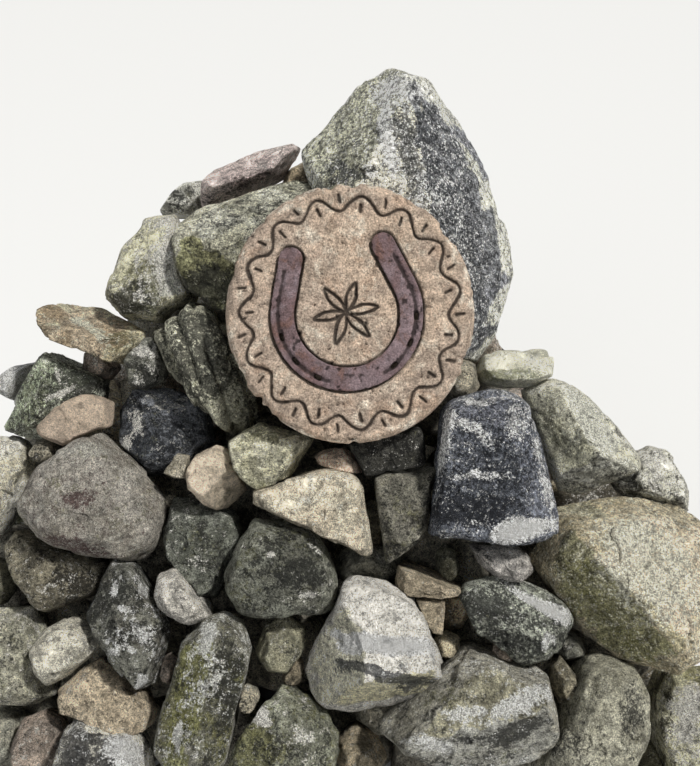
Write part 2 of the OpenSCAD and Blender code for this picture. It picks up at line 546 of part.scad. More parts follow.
// Corners of a rough lump, section by section from the back to the crown
function section(stone, depth, shape) =
    [for (p = shape)
        stone[1] + [p.x / 100 * stone[3].x, p.y / 100 * stone[3].y, depth] * stone[2]];
function towards_crown(stone, share) =
    let (crown = stone[5])
    [for (p = stone[4])
        p * (1 - share) + share * [crown[0] + p.x * crown[2] / 100, crown[1] + p.y * crown[3] / 100]];
function corners(stone) =
    let (
        front = stone[3].z * stone[6],
        back = stone[3].z - front,
        front_sections = is_plain(stone) ? PLAIN_FRONT_SECTIONS : FRONT_SECTIONS
    )
    concat(
        [for (s = BACK_SECTIONS) each section(stone, -back * s[0], stone[4] * s[1])],
        [for (s = front_sections) each section(stone, front * s[0], towards_crown(stone, s[1]))]
    );
CORNERS = [for (stone = STONES) corners(stone)];
REACH = [for (i = [0 : len(STONES) - 1]) max([for (p = CORNERS[i]) norm(p - STONES[i][1])])];

// Directions in which a joint of a stone may face: out of its sides, and out of its front
function side_directions(stone) =
    let (outline = stone[4], size = stone[3], n = len(outline))
    [for (k = [0 : n - 1])
        let (edge = outline[(k + 1) % n] - outline[k])
        unit([edge.y * size.y, -edge.x * size.x, 0] * stone[2])];
SIDES = [for (stone = STONES) concat(side_directions(stone), [stone[2][2]])];

// The joint of stones i and j is the plane across which they overlap least:
// [gap, direction from i to j, highest of i, lowest of j]. A negative gap is an overlap.
function gap_along(i, j, direction) =
    let (
        top_i = max([for (p = CORNERS[i]) p * direction]),
        low_j = min([for (p = CORNERS[j]) p * direction])
    )
    [low_j - top_i, direction, top_i, low_j];
function joint(i, j) =
    let (
        line = STONES[j][1] - STONES[i][1],
        ways = [for (d = concat(SIDES[i], SIDES[j], [unit(line)])) d * line < 0 ? -d : d],
        gaps = [for (way = ways) gap_along(i, j, way)],
        widest = max([for (g = gaps) g[0]])
    )
    [for (g = gaps) if (g[0] == widest) g][0];

// Share of an overlap that stone i gives up to stone j
function share_given(i, j) =
    STONES[i][7] < STONES[j][7] ? 0 : STONES[i][7] > STONES[j][7] ? 1 : 0.5;

// Stones of one group stay just clear of each other, and all others touch
function clear_of(i, j) = STONES[i][0] == STONES[j][0] ? stone_gap : 0;

// Planes that dress stone i, each as [direction, offset]
function dressing(i) = [
    for (j = [0 : len(STONES) - 1])
        if (j != i && share_given(i, j) > 0
            && norm(STONES[j][1] - STONES[i][1]) < REACH[i] + REACH[j] + stone_gap)
            let (
                first = min(i, j),
                seam = joint(first, max(i, j)),
                given = (clear_of(i, j) - seam[0]) * share_given(i, j)
            )
            if (given > 0)
                i == first
                    ? [seam[1], seam[2] - given]
                    : [-seam[1], -(seam[3] + given)]
];

// Planes of a stone's own flats, each as [direction, offset]
function flats_of(i) = [
    for (flat = STONES[i][8])
        let (
            direction = unit(flat[0] * STONES[i][2]),
            middle = STONES[i][1] * direction,
            top = max([for (p = CORNERS[i]) p * direction])
        )
        [direction, middle + flat[1] * (top - middle)]
];

// The block of space beyond a plane, as far as a stone reaches
module beyond(plane, middle, reach) {
    direction = plane[0];
    foot = middle + direction * (plane[1] - middle * direction);
    translate(foot)
        rotate([0, acos(direction.z), atan2(direction.y, direction.x)])
            translate([-2 * reach, -2 * reach, 0])
                cube([4 * reach, 4 * reach, 2 * reach]);
}

// A stone as laid: the lump's hull with its flats, dressed to its neighbours and the ground
GROUND_PLANE = [[0, 0, -1], 0];
module stone(i) {
    corner_count = len(CORNERS[i]);
    difference() {
        hull()
            polyhedron(CORNERS[i], [[for (k = [0 : corner_count - 1]) k]]);
        for (plane = concat(flats_of(i), dressing(i)))
            beyond(plane, STONES[i][1], REACH[i]);
        if (min([for (p = CORNERS[i]) p.z]) < 0)
            beyond(GROUND_PLANE, STONES[i][1], REACH[i]);
    }
}

// Every stone of one name
module stones(name) {
    for (i = [1 : len(STONES) - 1])
        if (STONES[i][0] == name)
            stone(i);
}

module place_on_face(at) {
    translate(face_at)
        rotate([90 - face_lean, 0, 0])
            translate(at)
                children();
}

// Outline of the plaque: an oval whose rim wavers and is chipped here and there
plaque_steps = 72;
rim_waves = 5;
wave_start = 40;
wave_share = 1 / 3;
rim_nicks = 17;
rim_groups = 3;
group_start = 70;
edge_slant = 0.4;
function wave(a) = wave_share * (1 + sin(rim_waves * a + wave_start));
function nick(a) = max(0, sin(rim_nicks * a) * sin(rim_groups * a + group_start));
function chip(a) = rim_chip * (wave(a) + nick(a));
function plaque_outline(inset) = [
    for (k = [0 : plaque_steps - 1])
        let (a = 360 * k / plaque_steps, cut = inset + chip(a))
        [(plaque_w / 2 - cut) * cos(a), (plaque_h / 2 - cut) * sin(a)]
];

// Middle line of the shoe's bar: round at the toe, then branches that close to the heels
shoe_mid_r = (shoe_w - shoe_bar) / 2;
heel = [(heel_gap + shoe_bar) / 2, shoe_len - shoe_mid_r - shoe_bar];
branch_angle = atan2(heel.y, heel.x) - acos(shoe_mid_r / norm(heel));

// Outline of a strip along one branch, from an angle on the toe's arc up to a share of
// the straight part, between two distances from the middle line
arc_steps = 14;
function branch_strip(from, reach, inner, outer) =
    let (
        leave = around(branch_angle),
        end = shoe_mid_r * leave * (1 - reach) + heel * reach,
        angles = [for (k = [0 : arc_steps]) from + (branch_angle - from) * k / arc_steps]
    )
    concat(
        [for (a = angles) (shoe_mid_r + outer) * around(a)],
        [end + outer * leave, end + inner * leave],
        [for (k = [arc_steps : -1 : 0]) (shoe_mid_r + inner) * around(angles[k])]
    );

module both_branches() {
    children();
    mirror([1, 0])
        children();
}

toe_angle = -90;
heel_sides = 32;
module bar_outline(grow) {
    both_branches() {
        polygon(branch_strip(toe_angle, 1, -shoe_bar / 2 - grow, shoe_bar / 2 + grow));
        translate(heel)
            circle(d = shoe_bar + 2 * grow, $fn = heel_sides);
    }
}

// The shoe sits in its seat in the plaque, a little left of and below the middle
shoe_at = plaque_at + [-3, -2, plaque_t + shoe_proud - shoe_t];
fuller_in = 2;
fuller_from = -68;
fuller_reach = 0.75;
nail_angles = [-56, -33, -10];
overcut = 1;

module plaque() {
    color(PLAQUE_STONE)
        difference() {
            place_on_face(plaque_at) {
                linear_extrude(plaque_t - plaque_edge)
                    polygon(plaque_outline(0));
                translate([0, 0, plaque_t - plaque_edge])
                    linear_extrude(plaque_edge)
                        polygon(plaque_outline(plaque_edge * edge_slant));
            }
            place_on_face(shoe_at)
                rotate(shoe_turn)
                    linear_extrude(shoe_t)
                        bar_outline(seat_gap);
        }
}

module fuller() {
    translate([0, 0, shoe_t - fuller_depth])
        linear_extrude(fuller_depth + overcut)
            polygon(branch_strip(fuller_from, fuller_reach, fuller_in, fuller_in + fuller_w));
}

module nail_holes() {
    for (a = nail_angles)
        rotate(a)
            translate([shoe_mid_r + fuller_in + fuller_w / 2, 0, shoe_t / 2])
                cube([nail_w, nail_l, shoe_t + 2 * overcut], center = true);
}

module horseshoe() {
    color(SHOE_IRON)
        place_on_face(shoe_at)
            rotate(shoe_turn)
                difference() {
                    linear_extrude(shoe_t)
                        bar_outline(0);
                    both_branches() {
                        fuller();
                        nail_holes();
                    }
                }
}

module top_boulder() { color(GREY_GRIT) stones("top_boulder"); }
module long_slab() { color(PINK_GRIT) stones("long_slab"); }
module shoulder_stone() { color(OLIVE_GRIT) stones("shoulder_stone"); }
module small_dark_back_stone() { color(DARK_GRIT) stones("small_dark_back_stone"); }
module pointed_stone() { color(GREY_GRIT) stones("pointed_stone"); }
module ledge_stone() { color(CREAM_GRIT) stones("ledge_stone"); }
module left_green_stone() { color(OLIVE_GRIT) stones("left_green_stone"); }
module far_left_pale_stone() { color(PALE_GRIT) stones("far_left_pale_stone"); }
module pink_flake() { color(PINK_GRIT) stones("pink_flake"); }
module left_edge_stone() { color(GREY_GRIT) stones("left_edge_stone"); }
module round_boulder() { color(GREY_GRIT) stones("round_boulder"); }
module dark_hollow_stone() { color(DARK_GRIT) stones("dark_hollow_stone"); }
module lichen_cap_stone() { color(DARK_GRIT) stones("lichen_cap_stone"); }
module ridged_stone() { color(DARK_GRIT) stones("ridged_stone"); }
module tan_wedge() { color(TAN_GRIT) stones("tan_wedge"); }
module tan_stone() { color(TAN_GRIT) stones("tan_stone"); }
module sage_stone() { color(OLIVE_GRIT) stones("sage_stone"); }
module brown_pinning() { color(TAN_GRIT) stones("brown_pinning"); }
module plaque_foot_stone() { color(DARK_GRIT) stones("plaque_foot_stone"); }
module cream_triangle() { color(CREAM_GRIT) stones("cream_triangle"); }
module grey_block() { color(GREY_GRIT) stones("grey_block"); }
module blue_block() { color(BLUE_GRIT) stones("blue_block"); }
module grey_cobble() { color(GREY_GRIT) stones("grey_cobble"); }
module pale_flat_stone() { color(CREAM_GRIT) stones("pale_flat_stone"); }
module right_wedge() { color(GREY_GRIT) stones("right_wedge"); }
module right_back_stone() { color(GREY_GRIT) stones("right_back_stone"); }
module right_boulder() { color(TAN_GRIT) stones("right_boulder"); }
module long_dark_stone() { color(DARK_GRIT) stones("long_dark_stone"); }
module tan_blocks() { color(TAN_GRIT) stones("tan_blocks"); }
module pale_keystone() { color(PALE_GRIT) stones("pale_keystone"); }
module dark_round_stone() { color(DARK_GRIT) stones("dark_round_stone"); }
module dark_green_stone() { color(OLIVE_GRIT) stones("dark_green_stone"); }
module white_cobble() { color(PALE_GRIT) stones("white_cobble"); }
module spotted_stone() { color(DARK_GRIT) stones("spotted_stone"); }
module left_brown_stone() { color(DARK_GRIT) stones("left_brown_stone"); }
module pale_oblong() { color(CREAM_GRIT) stones("pale_oblong"); }
module left_lichen_stone() { color(GREY_GRIT) stones("left_lichen_stone"); }
module brown_flat_stone() { color(TAN_GRIT) stones("brown_flat_stone"); }
module tall_mossy_stone() { color(OLIVE_GRIT) stones("tall_mossy_stone"); }
module white_patched_stone() { color(PALE_GRIT) stones("white_patched_stone"); }
module foot_green_stone() { color(OLIVE_GRIT) stones("foot_green_stone"); }
module bottom_slab() { color(GREY_GRIT) stones("bottom_slab"); }
module oval_stone() { color(GREY_GRIT) stones("oval_stone"); }
module bottom_right_stone() { color(GREY_GRIT) stones("bottom_right_stone"); }
module pinnings() { color(TAN_GRIT) stones("pinnings"); }
module ground_course() { color(GREY_GRIT) stones("ground_course"); }
module flank_stones() { color(GREY_GRIT) stones("flank_stones"); }
module hearting() { color(DARK_GRIT) stones("hearting"); }

plaque();
horseshoe();
top_boulder();
long_slab();
shoulder_stone();
small_dark_back_stone();
pointed_stone();
ledge_stone();
left_green_stone();
far_left_pale_stone();
pink_flake();
left_edge_stone();
round_boulder();
dark_hollow_stone();
lichen_cap_stone();
ridged_stone();
tan_wedge();
tan_stone();
sage_stone();
brown_pinning();
plaque_foot_stone();
cream_triangle();
grey_block();
blue_block();
grey_cobble();
pale_flat_stone();
right_wedge();
right_back_stone();
right_boulder();
long_dark_stone();
tan_blocks();
pale_keystone();
dark_round_stone();
dark_green_stone();
white_cobble();
spotted_stone();
left_brown_stone();
pale_oblong();
left_lichen_stone();
brown_flat_stone();
tall_mossy_stone();
white_patched_stone();
foot_green_stone();
bottom_slab();
oval_stone();
bottom_right_stone();
pinnings();
ground_course();
flank_stones();
hearting();
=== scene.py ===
import functools
import math

import bpy
import numpy as np
from mathutils import Matrix, Vector


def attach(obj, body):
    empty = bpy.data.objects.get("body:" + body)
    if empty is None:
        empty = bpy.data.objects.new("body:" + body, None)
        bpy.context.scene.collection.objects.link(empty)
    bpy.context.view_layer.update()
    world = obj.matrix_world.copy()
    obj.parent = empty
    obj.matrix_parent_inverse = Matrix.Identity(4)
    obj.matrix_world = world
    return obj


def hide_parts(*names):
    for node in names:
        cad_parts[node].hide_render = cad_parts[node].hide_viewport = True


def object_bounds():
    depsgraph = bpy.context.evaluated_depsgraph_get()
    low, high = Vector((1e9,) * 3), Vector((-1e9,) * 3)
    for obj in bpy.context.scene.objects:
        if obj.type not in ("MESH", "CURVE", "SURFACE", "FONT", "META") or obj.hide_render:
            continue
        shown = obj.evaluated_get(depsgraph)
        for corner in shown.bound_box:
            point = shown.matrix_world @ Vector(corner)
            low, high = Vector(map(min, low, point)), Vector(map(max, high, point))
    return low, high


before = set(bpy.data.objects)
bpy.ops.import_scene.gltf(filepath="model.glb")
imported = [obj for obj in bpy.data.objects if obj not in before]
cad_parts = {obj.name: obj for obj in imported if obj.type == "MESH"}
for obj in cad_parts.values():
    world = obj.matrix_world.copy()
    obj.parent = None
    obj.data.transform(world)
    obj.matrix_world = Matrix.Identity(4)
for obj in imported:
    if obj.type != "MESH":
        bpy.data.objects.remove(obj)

CAD_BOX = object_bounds()
MM = 0.001

# The sloping face of the heap: a point on it, and the directions across, up the slope and out
LEAN = math.atan(0.925 / 2 / 0.660)
FACE_AT = np.array([0.05, -0.15417, 0.440])
ACROSS = np.array([1.0, 0.0, 0.0])
UP_SLOPE = np.array([0.0, math.sin(LEAN), math.cos(LEAN)])
OUT = np.array([0.0, -math.cos(LEAN), math.sin(LEAN)])
FACE = np.stack([ACROSS, UP_SLOPE, OUT])

# The photograph's view, in its pixels
EYE_DISTANCE = 0.930
FOCAL_PX = 900.0
FRAME_WIDTH = 700
FRAME_MIDDLE = (350.0, 383.0)


def to_pixel(points):
    """Where the camera of the photograph's view sees each point."""
    rel = points - (FACE_AT + OUT * EYE_DISTANCE)
    depth = -(rel @ OUT)
    x = FRAME_MIDDLE[0] + FOCAL_PX * (rel @ ACROSS) / depth
    y = FRAME_MIDDLE[1] - FOCAL_PX * (rel @ UP_SLOPE) / depth
    return np.stack([x, y], axis=1)


def lattice(cell, seed):
    """A value from 0 to 1 at each whole-numbered cell."""
    word = 0xFFFFFFFF
    h = cell[:, 0] * 374761393 + cell[:, 1] * 668265263 + cell[:, 2] * 362437 + seed * 974634777
    h &= word
    h = ((h ^ (h >> 13)) * 1274126177) & word
    h = ((h ^ (h >> 15)) * 2246822519) & word
    return ((h ^ (h >> 16)) & 0xFFFF) / 65535.0


def value_noise(points, seed):
    """Smooth noise from -1 to 1."""
    cell = np.floor(points).astype(np.int64)
    f = points - cell
    f = f * f * f * (f * (f * 6 - 15) + 10)
    total = np.zeros(len(points))
    near = (1 - f, f)
    for x, y, z in np.ndindex(2, 2, 2):
        weight = near[x][:, 0] * near[y][:, 1] * near[z][:, 2]
        total += weight * lattice(cell + np.array([x, y, z]), seed)
    return total * 2 - 1


def fractal(points, size, octaves, seed, gain=0.5):
    """Noise whose largest features are about size metres across."""
    total = np.zeros(len(points))
    amount, norm = 1.0, 0.0
    scaled = points / size
    for k in range(octaves):
        total += amount * value_noise(scaled + 17.3 * k, seed + 31 * k)
        norm += amount
        amount *= gain
        scaled = scaled * 2.03
    return total / norm


def triples(items, key, kind=float):
    """Three values of each of a mesh's items, as rows."""
    flat = np.empty(len(items) * 3, dtype=kind)
    items.foreach_get(key, flat)
    return flat.reshape(-1, 3)


def mesh_arrays(node):
    """Corners and triangles of a CAD node, in the shared frame."""
    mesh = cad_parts[node].data
    mesh.calc_loop_triangles()
    world = np.array(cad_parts[node].matrix_world)
    verts = triples(mesh.vertices, "co") @ world[:3, :3].T + world[:3, 3]
    key, index = np.unique(np.round(verts, 6), axis=0, return_inverse=True)
    return key, index.reshape(-1)[triples(mesh.loop_triangles, "vertices", np.int32)]


def shells(node):
    """The node's separate solids, each as (corners, triangles)."""
    key, tris = mesh_arrays(node)
    parent = list(range(len(key)))

    def root(i):
        while parent[i] != i:
            parent[i] = parent[parent[i]]
            i = parent[i]
        return i

    for a, b, c in tris:
        parent[root(b)] = root(a)
        parent[root(c)] = root(a)
    roots = np.array([root(i) for i in range(len(key))])
    found = []
    for r in np.unique(roots[tris[:, 0]]):
        own = tris[roots[tris[:, 0]] == r]
        used, local = np.unique(own, return_inverse=True)
        found.append((key[used], local.reshape(-1, 3)))
    return sorted(found, key=lambda s: tuple(np.round(s[0].mean(axis=0), 4)))


def planes_of(corners, tris):
    """The convex solid's facets, as outward normals and offsets."""
    a, b, c = corners[tris[:, 0]], corners[tris[:, 1]], corners[tris[:, 2]]
    normal = np.cross(b - a, c - a)
    area = np.linalg.norm(normal, axis=1)
    keep = area > 1e-9
    normal = normal[keep] / area[keep][:, None]
    offset = np.einsum("ij,ij->i", normal, a[keep])
    flip = offset - normal @ corners.mean(axis=0) < 0
    normal[flip] *= -1
    offset[flip] *= -1
    both = np.round(np.concatenate([normal * 50, offset[:, None] * 2000], axis=1))
    index = np.unique(both, axis=0, return_index=True)[1]
    return normal[index], offset[index]


@functools.cache
def cube_sphere(n):
    """Directions spread evenly over a sphere, and the quads between them."""
    t = np.tan(np.linspace(-1, 1, n + 1) * math.pi / 4)
    u, v = np.meshgrid(t, t, indexing="ij")
    one = np.ones_like(u)
    sides = [(one, u, v), (-one, v, u), (v, one, u), (u, -one, v), (u, v, one), (v, u, -one)]
    points = np.concatenate([np.stack(s, axis=-1).reshape(-1, 3) for s in sides])
    points /= np.linalg.norm(points, axis=1)[:, None]
    i, j = np.meshgrid(np.arange(n), np.arange(n), indexing="ij")
    first = (i * (n + 1) + j).reshape(-1)
    quad = np.stack([first, first + n + 1, first + n + 2, first + 1], axis=1)
    quads = np.concatenate([quad + k * (n + 1) ** 2 for k in range(6)])
    key, index = np.unique(np.round(points, 6), axis=0, return_inverse=True)
    quads = index.reshape(-1)[quads]
    a, b, c = key[quads[:, 0]], key[quads[:, 1]], key[quads[:, 2]]
    inward = np.einsum("ij,ij->i", np.cross(b - a, c - a), a) < 0
    quads[inward] = quads[inward][:, ::-1]
    return key, quads


def chiselled(points, cell, seed):
    """Small fracture facets, each its own tilted plane: depth at each point, about -1 to 1."""
    draw = np.random.RandomState(seed)
    low, high = points.min(axis=0), points.max(axis=0)
    count = int(np.clip(2.2 * np.prod(np.sort(high - low)[1:]) / cell ** 2, 6, 150))
    hubs = points[draw.choice(len(points), count, replace=False)]
    tilt = draw.normal(size=(count, 3))
    level = draw.uniform(-0.7, 0.7, count)
    sway = 0.25 * cell * np.stack([fractal(points, cell, 2, seed + k) for k in range(3)], axis=1)
    bent = points + sway
    gap = (bent ** 2).sum(axis=1)[:, None] + (hubs ** 2).sum(axis=1)[None, :] - 2 * bent @ hubs.T
    own = gap.argmin(axis=1)
    lean = ((points - hubs[own]) * tilt[own]).sum(axis=1) / cell
    return np.clip(level[own] + 1.1 * lean, -1.4, 1.4)


# How a stone wears: the share of its reach that random corner cuts leave, how far an edge
# wanders, and how much more finely the side that faces out is meshed
CORNER_CUT = (0.95, 0.99)
EDGE_WANDER = 0.02
FRONT_BIAS = 0.6
FRONT_SHIFT = 0.35
# The way that the paler, barer faces turn, towards the key light, so that they carry painted light; those
# turned the other way carry painted shade and more growth
LIGHT_AND_WEATHER_SIDE = np.array([0.45, 0.0, 0.89])
# How near a facet's pixel a point must be seen, and how ragged the border of a facet's look is
FACET_REACH = 4.0
RAGGED_BY = 0.011


def worn_stone(corners, tris, n, seed, look):
    """A dressed stone as it really is: worn edges, a rough skin and small chips."""
    middle = corners.mean(axis=0)
    normal, offset = planes_of(corners, tris)
    if look["front"]:
        middle = middle + OUT * FRONT_SHIFT * ((corners - middle) @ OUT).max()
    away = np.maximum(offset - normal @ middle, 2 * MM)
    spread = (corners - middle).T @ (corners - middle) / len(corners)
    axes = np.linalg.eigh(spread)[1].T
    half = np.maximum(np.abs((corners - middle) @ axes.T).max(axis=0), 6 * MM)
    unit_dirs, quads = cube_sphere(n)
    if look["front"]:
        unit_dirs = unit_dirs + FRONT_BIAS * (axes @ OUT)
    dirs = (unit_dirs * half) @ axes
    planes = (normal / away[:, None]).T
    sharp = np.maximum(dirs @ planes, 0).max(axis=1)
    exact = middle + dirs / sharp[:, None]
    sway = np.stack([fractal(exact, 0.05, 2, seed + 50 + k) for k in range(3)], axis=1)
    bent = dirs + sway * np.linalg.norm(dirs, axis=1)[:, None] * EDGE_WANDER
    reach = np.maximum(bent @ planes, 0)
    draw = np.random.RandomState(seed)
    for k in range(look["facets"]):
        aim = draw.normal(size=3)
        aim /= np.linalg.norm(aim)
        cut = ((corners - middle) @ aim).max() * draw.uniform(*CORNER_CUT)
        reach = np.concatenate([reach, np.maximum(bent @ aim / cut, 0)[:, None]], axis=1)
    top = reach.max(axis=1)
    ragged = np.stack([fractal(exact, 0.016, 3, seed + 60 + k, 0.6) for k in range(3)], axis=1) * RAGGED_BY
    own_facet = np.maximum((exact - middle + ragged) @ planes, 0).argmax(axis=1)
    worn = top * ((reach / top[:, None]) ** look["edge"]).sum(axis=1) ** (1 / look["edge"])
    ratio = sharp / worn
    ratio = np.minimum(ratio / np.percentile(ratio, 55), 1.012)
    broad = fractal(exact, 0.060, 3, seed)
    mid = fractal(exact, 0.018, 3, seed + 7, 0.6)
    fine = fractal(exact, 0.007, 2, seed + 13, 0.6)
    pits = np.maximum(0, fractal(exact, 0.011, 2, seed + 19) - 0.25)
    facets = chiselled(exact, look["chisel_cell"], seed + 29)
    chips = np.maximum(0, fractal(exact, 0.022, 2, seed + 23)) * np.clip(1 - ratio, 0, 0.1) * 10
    inward = look["rough"] * MM * (1.2 * broad + 1.3 * mid + 0.9 * fine + 3 * pits + 4 * chips
                                   + look["chisel"] * facets)
    if look["ridges"]:
        along = exact @ (ACROSS * 0.93 + UP_SLOPE * 0.3) + 0.006 * broad
        ridge = np.abs(np.sin(along / look["ridge_step"] * math.pi))
        inward = inward + look["ridges"] * (1 - ridge) ** 1.5
    reach_len = np.linalg.norm(exact - middle, axis=1)
    inward = np.clip(inward, -0.04 * reach_len, 0.3 * reach_len)
    scale = np.maximum(ratio - inward / reach_len, 0.3)
    points = middle + (exact - middle) * scale[:, None]
    wear = np.clip((1 - ratio) * 14, 0, 1)
    # Painted shade: how far the skin is sunk in, and its pits, so that they can be darkened as shade
    hollow = np.clip(0.5 + 0.35 * mid + 0.4 * fine + 0.15 * facets + pits, 0, 1)
    face, tone = facet_looks(points, normal, own_facet, seed, look)
    return points, quads, wear, hollow, face, tone


def facet_looks(points, normal, own_facet, seed, look):
    """How pale and bare each facet is, from 0 to 1, and its bare tone. Facets turned to the key light are
    paler, as painted light, those turned from it darker, as painted shade, and those turned back from the
    view darker too. A facet whose look is given is the one that the photograph's view sees at the given
    pixel."""
    drawn = 0.32 * value_noise(normal * 1.7 + seed % 17, seed)
    drawn -= look["far_side"] * np.clip(-normal @ OUT * 3, 0, 1)
    face = np.clip(0.5 + drawn + 0.22 * (normal @ LIGHT_AND_WEATHER_SIDE), 0, 1)[own_facet]
    tone = np.tile(lifted(look["a"], look["lift"]), (len(points), 1))
    pixel = to_pixel(points)
    for x, y, bare, *own_tone in look["faces"]:
        away = np.hypot(pixel[:, 0] - x, pixel[:, 1] - y)
        close = np.where(away < away.min() + FACET_REACH)[0]
        chosen = own_facet == own_facet[close[(points[close] @ OUT).argmax()]]
        face[chosen] = bare
        if own_tone:
            tone[chosen] = lifted(own_tone[0], look["lift"])
    return face, tone


def lifted(hexa, lift):
    tone = np.array(colour(hexa)[:3])
    return tone * min(lift, 0.9 / tone.max())


def colour(hexa):
    """A colour written as the screen shows it, turned into light."""
    parts = [int(hexa[k:k + 2], 16) / 255 for k in (1, 3, 5)]
    return [((c + 0.055) / 1.055) ** 2.4 if c > 0.04045 else c / 12.92 for c in parts] + [1.0]


def darker(tone, share):
    return [min(c * share, 0.9) for c in tone[:3]] + [1.0]


class Nodes:
    """Short calls for the shader nodes that the materials are made of."""

    def __init__(self, name):
        self.material = bpy.data.materials.new(name)
        self.material.use_nodes = True
        self.tree = self.material.node_tree
        self.tree.nodes.clear()

    def add(self, kind, inputs=None, **values):
        """A new node: its settings, and a link or a value for each input."""
        node = self.tree.nodes.new(kind)
        for key, value in values.items():
            setattr(node, key, value)
        for key, value in (inputs or {}).items():
            if isinstance(value, bpy.types.NodeSocket):
                self.tree.links.new(value, node.inputs[key])
            else:
                node.inputs[key].default_value = value
        return node

    def place(self, seed):
        coord = self.add("ShaderNodeTexCoord").outputs["Object"]
        shift = (seed * 1.37 % 9, seed * 2.11 % 9, seed * 0.73 % 9)
        return self.add("ShaderNodeMapping", {"Vector": coord, "Location": shift}).outputs["Vector"]

    def noise(self, vector, size, detail=6.0, rough=0.6, distort=0.0):
        return self.add("ShaderNodeTexNoise", {
            "Vector": vector, "Scale": 1 / size, "Detail": detail, "Roughness": rough,
            "Distortion": distort}).outputs["Fac"]

    def math(self, op, a, b):
        return self.add("ShaderNodeMath", {0: a, 1: b}, operation=op).outputs[0]

    def total(self, *shares):
        """The sum of several values, each given with its share."""
        sum_so_far = None
        for value, share in shares:
            part = self.math("MULTIPLY", value, share)
            sum_so_far = part if sum_so_far is None else self.math("ADD", sum_so_far, part)
        return sum_so_far

    def span(self, value, low, high, to_low=0.0, to_high=1.0):
        return self.add("ShaderNodeMapRange", {
            "Value": value, "From Min": low, "From Max": high, "To Min": to_low, "To Max": to_high},
            clamp=True).outputs["Result"]

    def mix(self, share, a, b, blend="MIX"):
        return self.add("ShaderNodeMix", {0: share, 6: a, 7: b}, data_type="RGBA",
                        blend_type=blend).outputs[2]

    def times(self, tone, factor):
        return self.mix(1.0, tone, factor, "MULTIPLY")

    def grade(self, base, value, low, high, least, most):
        """The base, darker or lighter by where value lies between low and high."""
        return self.times(base, self.span(value, low, high, least, most))

    def coat(self, base, value, low, high, most, tone):
        """The base with a tone over it, from none of it at low to its most at high."""
        return self.mix(self.span(value, low, high, 0.0, most), base, tone)

    def layer(self, name, output="Fac"):
        return self.add("ShaderNodeAttribute", attribute_name=name).outputs[output]

    def finish(self, base, rough, height=None, depth=1.0, metal=0.0, specular=0.3):
        inputs = {"Base Color": base, "Roughness": rough, "Metallic": metal, "Specular IOR Level": specular}
        if height is not None:
            bump = self.add("ShaderNodeBump", {"Strength": 1.0, "Distance": depth, "Height": height})
            inputs["Normal"] = bump.outputs["Normal"]
        shader = self.add("ShaderNodeBsdfPrincipled", inputs)
        self.add("ShaderNodeOutputMaterial", {"Surface": shader.outputs["BSDF"]})
        return self.material


# Mesh cells of the laid stones, in millimetres, from the two large boulders to the common stones
BIG, MIDDLING, SMALL, COMMON = 8.0, 6.5, 5.7, 16.5

# What a stone's look holds where its own row doesn't say: each row gives a and b, the bare stone's
# two tones, and lift, how much lighter it is than they are, set higher on some stones that lie in
# shade as painted light. Where a node has several solids, each draws its bare tone from tones.
# lichen, mossy and grime are shares from 0 to 1, and the dark grime also paints shade
LOOK = {
    "slot": "grey_grit", "dark": "#2e2e2b", "pale": "#dcd9d1", "moss": "#85835f",
    "tones": (), "lichen": 0.35, "mossy": 0.3, "grime_and_shade": 0.4, "specks": 0.95, "salt": 0.35,
    "contrast": 1.2, "fine": 0.4, "far_side": 0.3, "faces": (), "patches": (), "front": True,
    "edge": 80, "rough": 1.0, "chisel": 2.0, "chisel_cell": 0.030, "facets": 4,
    "ridges": 0.0, "ridge_step": 0.02, "cells": (7, 64), "step": SMALL,
}
# How deep each material's finest relief is, in metres
STONE_BUMP, PLAQUE_BUMP, SHOE_BUMP = 0.0044, 0.0026, 0.0018


